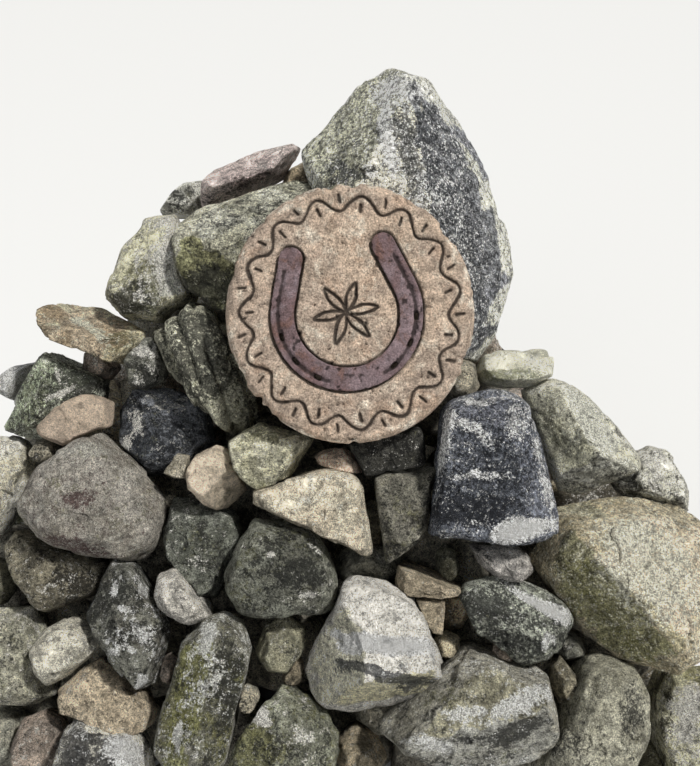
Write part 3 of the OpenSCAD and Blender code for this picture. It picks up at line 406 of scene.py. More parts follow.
def stone_material(name, seed, look):
    m = Nodes(name)
    at = m.place(seed)
    patches = m.add("ShaderNodeSeparateColor", {"Color": m.layer("layers", "Color")})
    pale_at, dark_at, moss_at = patches.outputs
    wear, hollow, face, tint = (m.layer(key) for key in ("wear", "hollow", "face", "tint"))
    tone = m.layer("tone", "Color")
    dark_tone, pale_tone, moss_tone = (colour(look[key]) for key in ("dark", "pale", "moss"))

    broad = m.noise(at, 0.050, 5, 0.6, 0.4)
    mottle = m.noise(at, 0.012, 8, 0.74, 0.4)
    grain = m.noise(at, 0.0014, 3, 0.8)
    fleck = m.noise(at, 0.0044, 5, 0.80, 0.2)

    def growth(shift, sizes, amount, patch, push, width, by_face, *more):
        """Where something grows, from 0 to 1, in large stands down to single specks."""
        spot = m.place(seed + shift)
        to_small = 0.24 * look["fine"]
        here = m.total((m.noise(spot, sizes[0], 5, 0.6, 0.5), 0.40 - to_small),
                       (m.noise(spot, sizes[1], 4, 0.7, 0.3), 0.34),
                       (m.noise(spot, sizes[2], 3, 0.75), 0.26 + to_small),
                       *more, (patch, push), (face, by_face))
        edge = 0.64 - 0.20 * amount + 0.6 * by_face
        return m.span(here, edge - width / 2, edge + width / 2)

    second = [b / a for a, b in zip(colour(look["a"]), colour(look["b"]))]
    base = m.mix(m.span(broad, 0.42, 0.58), tone, m.times(tone, second))
    swing, specks, salt = 0.42 * look["contrast"], look["specks"], look["salt"]
    base = m.grade(base, mottle, 0.38, 0.62, 1 - swing, 1 + swing)
    # Painted light and shade: facets with a high face value are lighter, those with a low one darker
    base = m.grade(base, face, 0.0, 1.0, 0.6, 1.45)
    mossy = growth(3, (0.040, 0.010, 0.0030), look["mossy"], moss_at, 0.16, 0.06, -0.06, (wear, -0.02))
    tufts = m.mix(m.span(fleck, 0.36, 0.64), darker(moss_tone, 0.5), moss_tone)
    base = m.mix(m.math("MULTIPLY", mossy, 0.72), base, tufts)
    # Dark grime and painted shade: it grows more on facets turned from the light and under the dark patches,
    # some of which are painted shade
    grime_and_shade = growth(5, (0.026, 0.008, 0.0026), look["grime_and_shade"], dark_at, 0.15, 0.035, -0.07)
    base = m.mix(m.math("MULTIPLY", grime_and_shade, 0.85), base, dark_tone)
    # Pale crust, and a painted highlight where a pale patch stands for one
    lichen = growth(8, (0.020, 0.006, 0.0022), look["lichen"] + 0.08, pale_at, 0.15, 0.03, 0.07, (wear, 0.05))
    crust = m.mix(m.span(grain, 0.36, 0.64), darker(pale_tone, 0.8), darker(pale_tone, 1.25))
    base = m.mix(m.math("MULTIPLY", lichen, 0.9), base, crust)
    base = m.grade(base, grain, 0.34, 0.66, 1 - 0.75 * specks, 1 + 0.85 * specks)
    base = m.grade(base, fleck, 0.42, 0.58, 1 - 0.6 * salt, 1 + 0.8 * salt)
    base = m.coat(base, fleck, 0.39, 0.34, 0.8, darker(dark_tone, 0.7))
    base = m.coat(base, fleck, 0.60, 0.66, 0.55, pale_tone)
    # Strong pale patches are coated fully pale: crust, and on some stones a painted highlight
    base = m.coat(base, pale_at, 1.2, 2.0, 0.85, crust)
    # Painted shade in the sunk parts and pits of the skin
    base = m.coat(base, hollow, 0.62, 1.1, 0.5, darker(dark_tone, 0.8))
    base = m.times(base, tint)
    height = m.total((mottle, 1.0), (grain, 0.75), (fleck, 1.6))
    return m.finish(base, m.span(mottle, 0.2, 0.8, 0.84, 0.97), height, STONE_BUMP)


def plaque_material(name):
    m = Nodes(name)
    at = m.place(4)
    cut, hollow, rim = m.layer("cut"), m.layer("hollow"), m.layer("rim")
    broad = m.noise(at, 0.055, 5, 0.6, 0.3)
    mottle = m.noise(at, 0.010, 7, 0.74, 0.3)
    grain = m.noise(at, 0.0020, 3, 0.75)
    fleck = m.noise(at, 0.0042, 4, 0.78)
    warm = m.noise(m.place(9), 0.03, 6, 0.65, 0.4)
    cool = m.noise(m.place(13), 0.020, 7, 0.72, 0.3)
    base = m.coat(colour("#c6b09b"), broad, 0.42, 0.58, 1.0, colour("#b5a291"))
    base = m.coat(base, warm, 0.54, 0.62, 0.35, colour("#b8987f"))
    base = m.coat(base, cool, 0.53, 0.60, 0.6, colour("#d6c8b5"))
    by_rim = m.math("ADD", cool, m.math("MULTIPLY", rim, 0.10))
    base = m.coat(base, by_rim, 0.60, 0.66, 0.7, colour("#e3d8c7"))
    base = m.grade(base, mottle, 0.38, 0.62, 0.64, 1.32)
    base = m.grade(base, grain, 0.36, 0.64, 0.55, 1.48)
    base = m.coat(base, fleck, 0.38, 0.32, 0.9, colour("#2d2723"))
    # Painted shade in the pits and small holes of the face
    base = m.coat(base, hollow, 0.45, 1.0, 0.85, colour("#2b2420"))
    # Painted shade in the carved grooves and the seat round the shoe
    base = m.coat(base, cut, 0.15, 0.80, 0.90, colour("#2c241f"))
    height = m.total((mottle, 0.9), (grain, 0.8), (fleck, 0.9))
    return m.finish(base, m.span(mottle, 0.2, 0.8, 0.85, 0.97), height, PLAQUE_BUMP)


def shoe_material(name):
    m = Nodes(name)
    at = m.place(6)
    hollow = m.layer("hollow")
    broad = m.noise(at, 0.040, 6, 0.62, 0.5)
    mottle = m.noise(at, 0.009, 7, 0.72, 0.3)
    grain = m.noise(at, 0.0018, 3, 0.72)
    fleck = m.noise(at, 0.0036, 4, 0.78)
    rust = m.noise(m.place(15), 0.024, 7, 0.68, 0.6)
    base = m.coat(colour("#89777a"), broad, 0.42, 0.58, 1.0, colour("#745f60"))
    base = m.coat(base, rust, 0.52, 0.61, 0.6, colour("#755446"))
    base = m.coat(base, rust, 0.42, 0.36, 0.6, colour("#938489"))
    base = m.grade(base, mottle, 0.38, 0.62, 0.72, 1.26)
    base = m.grade(base, grain, 0.36, 0.64, 0.66, 1.34)
    base = m.coat(base, fleck, 0.38, 0.31, 0.85, colour("#241c1c"))
    # Painted shade on the shoe's sides and in its pits
    base = m.coat(base, hollow, 0.30, 0.95, 0.85, colour("#241b1a"))
    height = m.total((mottle, 0.9), (fleck, 0.9), (grain, 0.4))
    rough = m.span(mottle, 0.2, 0.8, 0.5, 0.8)
    return m.finish(base, rough, height, SHOE_BUMP, metal=0.25, specular=0.35)


def make_mesh(name, points, faces, layers=None):
    mesh = bpy.data.meshes.new(name)
    mesh.vertices.add(len(points))
    mesh.vertices.foreach_set("co", np.ascontiguousarray(points, dtype=np.float32).reshape(-1))
    if isinstance(faces, list):
        sizes = [len(f) for f in faces]
        loops = np.concatenate([np.asarray(f) for f in faces])
    else:
        sizes = np.full(len(faces), faces.shape[1])
        loops = faces.reshape(-1)
    mesh.loops.add(len(loops))
    mesh.loops.foreach_set("vertex_index", loops.astype(np.int32))
    mesh.polygons.add(len(sizes))
    starts = np.concatenate([[0], np.cumsum(sizes)[:-1]]).astype(np.int32)
    mesh.polygons.foreach_set("loop_start", starts)
    mesh.polygons.foreach_set("use_smooth", np.ones(len(sizes), dtype=bool))
    mesh.update(calc_edges=True)
    for key, values in (layers or {}).items():
        if values.ndim == 1:
            layer = mesh.attributes.new(key, "FLOAT", "POINT")
            layer.data.foreach_set("value", values.astype(np.float32))
        else:
            layer = mesh.attributes.new(key, "FLOAT_COLOR", "POINT")
            rgba = np.column_stack([values, np.ones(len(values))])
            layer.data.foreach_set("color", rgba.astype(np.float32).reshape(-1))
    mesh.validate()
    return place_new(name, mesh)


def place_new(name, data):
    obj = bpy.data.objects.new(name, data)
    bpy.context.scene.collection.objects.link(obj)
    return obj


def finish_piece(piece, node, material):
    piece.data.materials.append(material)
    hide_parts(node)
    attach(piece, "root")


CAD_MARGIN = 0.2 * MM


def inside_cad(points):
    low, high = np.array(CAD_BOX)
    return np.clip(points, low + CAD_MARGIN, high - CAD_MARGIN)


def patch_of(layer):
    """Patches of one layer, in pixels of the photograph's view: middle, half sizes, turn."""
    return lambda x, y, across, up, turn=0, strength=1.0: (layer, x, y, across, up, turn, strength)


pale, dark, moss = (patch_of(layer) for layer in range(3))


PATCH_WOBBLE = 9.0


def patch_layers(points, patches, seed):
    """How strongly each point lies in a patch of pale crust, dark growth or moss; some pale patches paint
    highlights and some dark ones paint shade.
    """
    layers = np.zeros((len(points), 3))
    if not patches:
        return layers
    wobble = np.stack([fractal(points, 0.03, 3, seed + 41), fractal(points, 0.03, 3, seed + 43)], axis=1)
    pixel = to_pixel(points) + PATCH_WOBBLE * wobble
    front = np.clip((points - points.mean(axis=0)) @ OUT / 0.02 + 1.0, 0, 1)
    for layer, x, y, half_across, half_up, turn, strength in patches:
        rel = pixel - np.array([x, y])
        c, s = math.cos(math.radians(turn)), math.sin(math.radians(turn))
        across = (rel[:, 0] * c + rel[:, 1] * s) / half_across
        up = (-rel[:, 0] * s + rel[:, 1] * c) / half_up
        near = strength * np.clip(1.6 - 1.2 * np.hypot(across, up), 0, 1)
        layers[:, layer] = np.maximum(layers[:, layer], near * front)
    return layers


# How dark and how varied the solids of one node are, and the step between their seeds
TINT_LOW, TINT_RANGE = 0.68, 0.54
SOLID_SEED_STEP = 101


def stone_piece(node, own, seed):
    look = {**LOOK, **own}
    parts = []
    count = 0
    solids = shells(node)
    for k, (corners, tris) in enumerate(solids):
        span_mm = np.linalg.norm(corners.max(axis=0) - corners.min(axis=0)) / MM
        fewest, most = look["cells"]
        n = int(max(fewest, min(most, span_mm / look["step"])))
        tint, bare = 1.0, look["a"]
        if len(solids) > 1:
            tint = TINT_LOW + TINT_RANGE * lattice(np.array([[k, seed, 3]]), seed)[0]
        if look["tones"]:
            pick = lattice(np.array([[k, seed, 5]]), seed)[0] * 0.999
            bare = look["tones"][int(pick * len(look["tones"]))]
        points, quads, *skin = worn_stone(corners, tris, n, seed + SOLID_SEED_STEP * k, {**look, "a": bare})
        parts.append((inside_cad(points), quads + count, *skin, np.full(len(points), tint)))
        count += len(points)
    points, quads, *skin = (np.concatenate(column) for column in zip(*parts))
    layers = dict(zip(("wear", "hollow", "face", "tone", "tint"), skin))
    layers["layers"] = patch_layers(points, look["patches"], seed)
    piece = make_mesh("worn_" + node, points, quads, layers)
    finish_piece(piece, node, stone_material("rock_" + node, seed, look))


# The plaque and its shoe, measured in the heap's face
PLAQUE_W, PLAQUE_H, PLAQUE_T = 0.252, 0.264, 0.034
PLAQUE_AT = np.array([0.0, 0.0701])
SHOE_TURN = math.radians(9)
SHOE_AT = PLAQUE_AT + np.array([-0.003, -0.002])
SHOE_MID_R, SHOE_BAR, SHOE_TOP = 0.0645, 0.024, 0.0365
HEEL = np.array([0.0465, 0.0635])
BRANCH_ANGLE = math.radians(18.8)
SEAT_GAP, SEAT_SLOPE, SEAT_DEPTH = 0.0009, 0.0012, 0.0068
CUT_HALF_WIDTH, CUT_DEPTH, HAND_SWAY = 0.0023, 0.0032, 0.0016
PLAQUE_STEPS, PLAQUE_RINGS = 470, 92


def around(turn):
    return np.column_stack([np.cos(turn), np.sin(turn)])


def near_line(points, line):
    """Distance from each point to a line drawn through the given points."""
    best = np.full(len(points), 9.0)
    for a, b in zip(line[:-1], line[1:]):
        along = b - a
        t = np.clip((points - a) @ along / (along @ along), 0, 1)
        best = np.minimum(best, np.linalg.norm(points - a - t[:, None] * along, axis=1))
    return best


def arc(middle, radius, start, end, steps=24):
    return middle + radius * around(np.radians(np.linspace(start, end, steps + 1)))


def on_plaque(share, turn):
    """The point at a share of the way from the plaque's middle to its rim."""
    return PLAQUE_AT + share * np.array([PLAQUE_W / 2 * math.cos(turn), PLAQUE_H / 2 * math.sin(turn)])


def shoe_line():
    turn = np.linspace(-math.pi / 2, BRANCH_ANGLE, 24)
    right = np.concatenate([SHOE_MID_R * around(turn), [HEEL]])
    left = right[::-1] * np.array([-1, 1])
    line = np.concatenate([left, right[1:]])
    c, s = math.cos(SHOE_TURN), math.sin(SHOE_TURN)
    return line @ np.array([[c, s], [-s, c]]) + SHOE_AT


def carved_lines():
    """A six-petalled rosette inside the shoe, and a running wave with short strokes round the rim."""
    lines = []
    middle = PLAQUE_AT + np.array([-0.004, 0.000])
    petal = 0.033
    for k in range(6):
        turn = 60 * k + 12
        hub = middle + petal * np.array([math.cos(math.radians(turn)), math.sin(math.radians(turn))])
        lines.append(arc(hub, petal, turn + 122, turn + 238))
    waves, steps = 15, 12
    wave = []
    for k in range(waves * steps + 1):
        turn = 2 * math.pi * k / (waves * steps) + 0.1
        wave.append(on_plaque(0.835 + 0.055 * math.sin(waves * (turn - 0.1)), turn))
    lines.append(np.array(wave))
    for k in range(waves):
        crest = 2 * math.pi * (k + 0.25) / waves + 0.1
        trough = 2 * math.pi * (k + 0.75) / waves + 0.1
        lines.append(np.array([on_plaque(0.77, crest), on_plaque(0.825, crest + 0.01)]))
        lines.append(np.array([on_plaque(0.845, trough - 0.01), on_plaque(0.90, trough)]))
    return lines


def make_plaque():
    steps, rings, side_rings, back_rings = PLAQUE_STEPS, PLAQUE_RINGS, 9, 4
    turn = np.linspace(0, 2 * math.pi, steps, endpoint=False)
    circle = around(turn) * 0.12
    ring_points = np.column_stack([circle, np.zeros(steps)])
    nick = np.maximum(0, fractal(ring_points, 0.018, 3, 71, 0.6) - 0.08)
    chip = 0.0010 + 0.0009 * fractal(ring_points, 0.09, 2, 73) + 0.010 * nick
    rim = (np.array([PLAQUE_W, PLAQUE_H]) / 2 - chip[:, None]) * around(turn)
    share = np.arange(rings) / (rings - 1)
    flat = PLAQUE_AT + (share[:, None, None] * rim[None, :, :]).reshape(-1, 2)
    edge_gap = np.repeat(1 - share, steps) * np.tile(np.linalg.norm(rim, axis=1), rings)
    sheet = np.column_stack([flat, np.zeros(len(flat))])
    pits = np.maximum(0, fractal(sheet, 0.0070, 3, 85, 0.6) - 0.36)
    w = PLAQUE_T - 0.0016 + 0.0011 * fractal(sheet, 0.07, 3, 81) - 0.008 * pits
    w += 0.0011 * fractal(sheet, 0.010, 4, 83, 0.65)
    fall = np.clip(1 - edge_gap / (0.007 + 0.007 * np.abs(fractal(sheet, 0.03, 2, 87))), 0, 1)
    w -= 0.008 * fall ** 2.2
    draw = np.random.RandomState(5)
    holes = np.zeros(len(flat))
    ragged = 0.0007 * fractal(sheet, 0.003, 2, 89)
    for k in range(150):
        hole = on_plaque(math.sqrt(draw.uniform(0, 0.93)), draw.uniform(0, 2 * math.pi))
        size = draw.uniform(0.0007, 0.0012) + 0.0012 * draw.uniform() ** 4
        gap = np.linalg.norm((flat - hole) * np.array([1.0, draw.uniform(0.6, 1.4)]), axis=1) + ragged
        holes = np.maximum(holes, np.clip(1.3 - gap / size, 0, 1))
    w -= 0.0018 * holes
    cut = np.zeros(len(flat))
    sway = HAND_SWAY * np.stack([fractal(sheet, 0.016, 3, 91), fractal(sheet, 0.016, 3, 93)], axis=1)
    width = CUT_HALF_WIDTH + 0.0006 * fractal(sheet, 0.015, 2, 95) + 0.0004 * fractal(sheet, 0.003, 2, 96)
    for line in carved_lines():
        cut = np.maximum(cut, np.clip(1 - (near_line(flat + sway, line) / width) ** 2, 0, 1))
    w -= CUT_DEPTH * cut
    seat = np.clip((SHOE_BAR / 2 + SEAT_GAP + SEAT_SLOPE - near_line(flat, shoe_line())) / SEAT_SLOPE, 0, 1)
    w -= SEAT_DEPTH * seat
    # Painted shade in the carved grooves, and fainter in the seat round the shoe
    groove_shade = np.maximum(cut, 0.5 * seat)
    rows = [np.column_stack([flat, w]).reshape(rings, steps, 3)]
    low = rows[0][-1, :, 2]
    for k in range(1, side_rings + 1):
        depth = low * (1 - k / side_rings)
        bulge = fractal(np.column_stack([circle, depth]), 0.02, 3, 97, 0.6)
        out = 0.0014 * bulge - 0.0010 * (k / side_rings) ** 2
        out += 0.0010 * math.sin(math.pi * k / side_rings)
        grown = rim * (1 + np.minimum(out, 0.0009) / np.linalg.norm(rim, axis=1))[:, None]
        rows.append(np.column_stack([PLAQUE_AT + grown, depth])[None])
    last = rows[-1][0]
    for k in range(1, back_rings + 1):
        inner = PLAQUE_AT + (last[:, :2] - PLAQUE_AT) * (1 - k / (back_rings + 0.02))
        rows.append(np.column_stack([inner, np.zeros(steps)])[None])
    grid = np.concatenate(rows)[1:]
    count = len(grid)
    i, j = np.meshgrid(np.arange(count - 1), np.arange(steps), indexing="ij")
    nxt = (j + 1) % steps
    quads = np.stack([i * steps + j, (i + 1) * steps + j, (i + 1) * steps + nxt, i * steps + nxt], axis=-1)
    faces = quads.reshape(-1, 4).tolist()
    # the innermost ring of the front closes to one point, and so does the back's
    front_w = float(grid[0, :, 2].mean())
    middles = np.array([[*PLAQUE_AT, front_w], [*PLAQUE_AT, 0.0]])
    local = np.concatenate([grid.reshape(-1, 3), middles])
    front_hub, back_hub = len(local) - 2, len(local) - 1
    back_row = (count - 1) * steps
    for j in range(steps):
        k = (j + 1) % steps
        faces += [(front_hub, j, k), (back_hub, back_row + k, back_row + j)]
    # The plaque's painted shade: in its grooves and seat, and in its pits and holes
    front = {"cut": groove_shade, "hollow": np.clip(np.maximum(holes, 3.0 * pits), 0, 1), "rim": fall}
    others = np.zeros(len(local) - len(cut) + steps)
    layers = {key: np.concatenate([values[steps:], others]) for key, values in front.items()}
    piece = make_mesh("carved_plaque", inside_cad(FACE_AT + local @ FACE), faces, layers)
    finish_piece(piece, "plaque", plaque_material("plaque_sandstone"))


SHOE_VOXEL = 0.0012


def make_shoe():
    source = make_mesh("shoe_source", *mesh_arrays("horseshoe"))
    remesh = source.modifiers.new("skin", "REMESH")
    remesh.mode = "VOXEL"
    remesh.voxel_size = SHOE_VOXEL
    smooth = source.modifiers.new("worn", "SMOOTH")
    smooth.factor = 0.5
    smooth.iterations = 3
    evaluated = source.evaluated_get(bpy.context.evaluated_depsgraph_get())
    mesh = bpy.data.meshes.new_from_object(evaluated)
    bpy.data.objects.remove(source)
    points, normals = triples(mesh.vertices, "co"), triples(mesh.vertices, "normal")
    faces = [tuple(p.vertices) for p in mesh.polygons]
    bpy.data.meshes.remove(mesh)
    rough = fractal(points, 0.010, 3, 61, 0.6)
    pits = np.maximum(0, fractal(points, 0.0055, 2, 63) - 0.30)
    points = points + normals * (0.00040 * (rough - 0.6) - 0.0032 * pits)[:, None]
    local = (points - FACE_AT) @ FACE.T
    # Painted shade on the shoe's sides below its top, where it sits down in its seat, and in its pits
    sunk = np.clip((SHOE_TOP - 0.0010 - local[:, 2]) / 0.0012, 0, 1)
    hollow = np.clip(np.maximum(sunk, 3 * pits), 0, 1)
    piece = make_mesh("worn_horseshoe", points, faces, {"hollow": hollow})
    finish_piece(piece, "horseshoe", shoe_material("shoe_iron_weathered"))


make_plaque()
make_shoe()

# Each laid stone: its look, with faces and patches given in the photograph's view. A face is a
# pixel that shows the facet, how pale and bare the facet is from 0 to 1, and its tone where that
# differs from the stone's; both also paint the light and shade that falls on the facet
STONES = {
    "top_boulder": dict(
        a="#a3a297", b="#908f86", dark="#35383c", pale="#eceae3", moss="#7f7d60", lift=2.3,
        lichen=0.42, mossy=0.1, fine=0.9, salt=1.0, edge=100, step=BIG,
        faces=[(335, 130, 0.42, "#979685"), (385, 160, 0.66, "#a5a295"), (460, 200, 0.20, "#6f7072"),
               (427, 78, 0.95), (475, 130, 0.32, "#75767a"), (505, 290, 0.35, "#75767a"),
               (490, 335, 0.25, "#6f7072")],
        patches=[
            dark(450, 235, 44, 110, -16, 0.5), dark(480, 320, 28, 60, 0, 0.5),
            dark(412, 160, 12, 50, -14, 1.1), pale(450, 235, 50, 110, -16, 0.3),
            moss(330, 150, 38, 30, -30, 0.8), moss(325, 178, 30, 16), dark(345, 172, 36, 10, 0, 0.6),
            pale(392, 88, 34, 16, 10, 0.8), pale(388, 130, 8, 46, -5, 1.1),
            pale(478, 170, 10, 50, -25, 0.8)]),
    # Its high lift is painted light over the shade on its front face
    "long_slab": dict(
        slot="pink_grit", a="#a79c97", b="#8f837f", dark="#453b3a", pale="#cfc5bf", lift=3.2,
        lichen=0.1, mossy=0.0, grime_and_shade=0.3, step=MIDDLING,
        faces=[(250, 160, 0.60, "#a79c97"), (250, 182, 0.45, "#a39591")],
        patches=[pale(272, 152, 30, 4, -20), pale(262, 168, 8, 8, 0, 0.9), dark(240, 190, 40, 8, -20, 0.5)]),
    "shoulder_stone": dict(
        slot="olive_grit", a="#7e7c70", b="#6c6a5c", pale="#cbc8b2", moss="#827f5c", lift=3.2,
        lichen=0.3, mossy=0.35, grime_and_shade=0.45, salt=0.6, step=MIDDLING,
        faces=[(235, 215, 0.45, "#838279"), (215, 265, 0.35, "#757459"), (255, 240, 0.42, "#82817a")],
        patches=[moss(215, 262, 46, 26, -8, 0.8), pale(228, 238, 26, 8, -14), pale(250, 208, 50, 6, -14, 0.5),
                 dark(205, 285, 30, 20, 0, 0.9), dark(280, 205, 30, 14, -20, 0.5)]),
    "small_dark_back_stone": dict(
        slot="dark_grit", a="#92918a", b="#75746c", lift=3.8, lichen=0.3,
        faces=[(185, 188, 0.75), (182, 205, 0.15)]),
    "pointed_stone": dict(
        a="#b0ac95", b="#8d8975", lift=2.3, lichen=0.45, mossy=0.35, grime_and_shade=0.35, edge=70, step=MIDDLING,
        faces=[(130, 260, 0.62, "#a6a38c"), (145, 285, 0.55), (175, 262, 0.42, "#93938a"),
               (165, 222, 0.95, "#c9c6ba"), (145, 312, 0.38, "#8f8f75")],
        patches=[pale(165, 255, 14, 40, 10, 0.6), dark(125, 305, 24, 20), moss(140, 285, 20, 30, 20, 0.7)]),
    # Its paler top facet and the pale strip along its top are painted light from above
    "ledge_stone": dict(
        slot="cream_grit", a="#d0c9ae", b="#aea386", pale="#e2dcc8", moss="#6c6a42", lift=1.6, grime_and_shade=0.25,
        faces=[(75, 312, 0.85, "#cfc2ac"), (80, 340, 0.45, "#b0a18b"), (50, 338, 0.40, "#b0a18b")],
        patches=[moss(128, 335, 16, 20, 10, 0.8), dark(80, 352, 44, 5, 22, 0.5), pale(68, 314, 40, 6, 24),
                 pale(95, 330, 20, 5, 40)]),
    "left_green_stone": dict(
        slot="olive_grit", a="#7b7d72", b="#64665e", moss="#6c6d4c", lift=3.4,
        lichen=0.3, grime_and_shade=0.6, fine=0.7, step=MIDDLING,
        faces=[(75, 375, 0.30, "#70716c"), (45, 400, 0.40, "#7d8270"), (22, 405, 0.60, "#858b76")],
        patches=[dark(85, 385, 30, 30, 20, 0.6), moss(30, 400, 22, 40, 15, 0.7), pale(60, 393, 18, 4, -20),
                 pale(58, 370, 3, 14, 0, 0.8)]),
    # Its high lift, lichen and facet values are painted light over the shade that it lies in
    "far_left_pale_stone": dict(
        slot="pale_grit", a="#d2d1c8", b="#c5c3b8", pale="#efede6", lift=2.4, lichen=0.9, mossy=0.0,
        grime_and_shade=0.1, faces=[(12, 375, 0.95), (25, 370, 0.9)]),
    "pink_flake": dict(
        slot="pink_grit", a="#ccb9a4", b="#b9a896", pale="#d9cbbb", dark="#4a4034", lift=1.2,
        lichen=0.0, mossy=0.0, grime_and_shade=0.0, specks=0.5, salt=0.15, contrast=0.6, rough=0.7, edge=90,
        faces=[(80, 415, 0.60), (95, 398, 0.65)]),
    "left_edge_stone": dict(a="#d0cdc2", b="#b0aa96", lift=1.45, grime_and_shade=0.3, step=MIDDLING),
    "round_boulder": dict(
        a="#8f8a82", b="#7a756c", dark="#57413f", pale="#b9b6ac", moss="#868465", lift=1.7,
        lichen=0.38, mossy=0.35, grime_and_shade=0.3, fine=0.6, edge=40, contrast=1.1, step=MIDDLING,
        faces=[(35, 500, 0.50), (60, 460, 0.52), (75, 520, 0.52), (105, 455, 0.58), (120, 480, 0.52),
               (130, 515, 0.52), (80, 545, 0.40), (150, 500, 0.50)],
        patches=[moss(110, 448, 50, 12, -8, 0.6), pale(95, 446, 55, 8, -8, 0.5),
                 dark(70, 548, 40, 8, 12, 0.6), dark(80, 500, 14, 10, 0, 0.9)]),
    "dark_hollow_stone": dict(
        slot="dark_grit", a="#5a5c60", b="#424549", dark="#212327", lift=2.2,
        lichen=0.3, mossy=0.15, grime_and_shade=0.6, fine=0.6,
        faces=[(130, 430, 0.20), (170, 420, 0.30), (150, 460, 0.10)],
        patches=[pale(133, 415, 9, 24, -15, 0.9), pale(128, 440, 7, 9, 0, 0.8),
                 pale(165, 400, 26, 5, 10, 0.6)]),
    "lichen_cap_stone": dict(
        slot="dark_grit", a="#8a8a80", b="#6b6b61", lift=1.1, lichen=0.3, grime_and_shade=0.55,
        faces=[(145, 360, 0.55), (150, 380, 0.35), (165, 360, 0.35)],
        patches=[pale(150, 352, 16, 9, 0, 0.6), dark(150, 380, 18, 10)]),
    "ridged_stone": dict(
        slot="dark_grit", a="#5e5d53", b="#47463d", dark="#2b2b27", pale="#bcbaa5", moss="#7c7b55", lift=7.5,
        lichen=0.3, mossy=0.45, grime_and_shade=0.5, ridges=8 * MM, ridge_step=0.022, chisel=2.6,
        faces=[(190, 340, 0.45), (170, 360, 0.25), (215, 380, 0.55), (235, 410, 0.50)],
        patches=[dark(205, 350, 40, 60, 0, 0.5), pale(225, 410, 12, 30, 20, 0.6)]),
    "tan_wedge": dict(
        slot="tan_grit", a="#c1b9a7", b="#aea58f", lift=0.95, lichen=0.15, mossy=0.0, grime_and_shade=0.2, rough=0.6),
    "tan_stone": dict(
        slot="tan_grit", a="#cebfaa", b="#b8ab96", pale="#dcd2c0", dark="#4a4034", lift=1.65,
        lichen=0.0, mossy=0.0, grime_and_shade=0.0, rough=0.6, specks=0.4, contrast=0.5, edge=90,
        faces=[(200, 460, 0.62), (205, 490, 0.55), (225, 490, 0.25), (230, 455, 0.55)],
        patches=[dark(232, 495, 16, 14, 20, 0.8)]),
    "sage_stone": dict(
        slot="olive_grit", a="#bcb9a5", b="#a4a087", moss="#8a8962", lift=1.6, lichen=0.2, mossy=0.5,
        grime_and_shade=0.3, faces=[(250, 445, 0.62), (275, 465, 0.35), (290, 450, 0.60)]),
    "brown_pinning": dict(
        slot="tan_grit", a="#a89888", b="#8c7e70", lift=2.2, lichen=0.15, mossy=0.1, grime_and_shade=0.35),
    "plaque_foot_stone": dict(
        slot="dark_grit", a="#4a4944", b="#363530", dark="#151513", lift=1.2,
        lichen=0.1, mossy=0.2, grime_and_shade=0.6),
    "cream_triangle": dict(
        slot="cream_grit", a="#ddd4be", b="#c8bca6", dark="#5d5443", pale="#ece5d4", lift=1.12,
        lichen=0.3, mossy=0.0, grime_and_shade=0.15, edge=110, rough=0.8,
        faces=[(320, 500, 0.60), (310, 475, 0.85)]),
    "grey_block": dict(
        a="#6d6a60", b="#5a584f", pale="#a3a293", lift=1.9, lichen=0.2, mossy=0.4, grime_and_shade=0.5, edge=90,
        faces=[(405, 500, 0.50), (380, 510, 0.20), (410, 468, 0.60)]),
    "blue_block": dict(
        slot="blue_grit", a="#5c5f66", b="#474a50", dark="#1f2127", pale="#e6e4dd", lift=1.8,
        lichen=0.36, mossy=0.0, grime_and_shade=0.55, fine=0.9, salt=0.8, edge=90, step=MIDDLING,
        faces=[(480, 405, 0.42, "#70727a"), (490, 460, 0.28), (460, 500, 0.26),
               (530, 450, 0.45, "#6a6d76"), (442, 470, 0.25), (500, 535, 0.5)],
        patches=[pale(485, 397, 48, 6, -3), pale(445, 440, 6, 60, 10, 0.7), pale(543, 460, 6, 56, -12, 1.2),
                 pale(522, 530, 30, 10, -8, 2.4), pale(470, 432, 26, 6, 40, 0.8),
                 pale(478, 476, 30, 5, 5, 0.7), pale(518, 420, 14, 18, 0, 0.5),
                 dark(470, 510, 40, 14, 0, 0.9)]),
    "grey_cobble": dict(
        a="#ada8a2", b="#99948d", lift=1.25, lichen=0.3, mossy=0.05, grime_and_shade=0.3, rough=0.6, edge=36,
        patches=[dark(480, 552, 16, 12, 0, 0.6)]),
    "pale_flat_stone": dict(
        slot="cream_grit", a="#dedbc9", b="#d5d3be", dark="#8b8c6c", pale="#e9e7d6", moss="#a8aa80",
        lift=1.9, lichen=0.4, mossy=0.2, grime_and_shade=0.0, salt=0.2, specks=0.6, contrast=0.6, edge=70,
        faces=[(520, 365, 0.90), (485, 360, 0.80), (515, 382, 0.45)], patches=[moss(510, 378, 40, 7)]),
    # Its bright right facet and the pale streak on it are painted light from the right, and its left facet is
    # painted darker as shade
    "right_wedge": dict(
        a="#b3b1a7", b="#989689", pale="#e2dfd0", moss="#8b8970", lift=2.8,
        lichen=0.4, mossy=0.2, grime_and_shade=0.3, edge=100, step=MIDDLING,
        faces=[(565, 430, 0.50, "#9b998a"), (595, 420, 0.97, "#cfccbc"), (590, 475, 0.30, "#8d8c86"),
               (550, 386, 0.85), (532, 410, 0.40)],
        patches=[moss(552, 420, 14, 34, -12, 0.5), dark(590, 484, 50, 7, -16, 0.6),
                 pale(592, 420, 12, 50, -30, 0.7)]),
    "right_back_stone": dict(
        a="#b9b7ae", b="#989689", lift=1.9, lichen=0.4, grime_and_shade=0.5, ridges=2 * MM,
        faces=[(655, 470, 0.75), (640, 490, 0.15), (668, 460, 0.85)]),
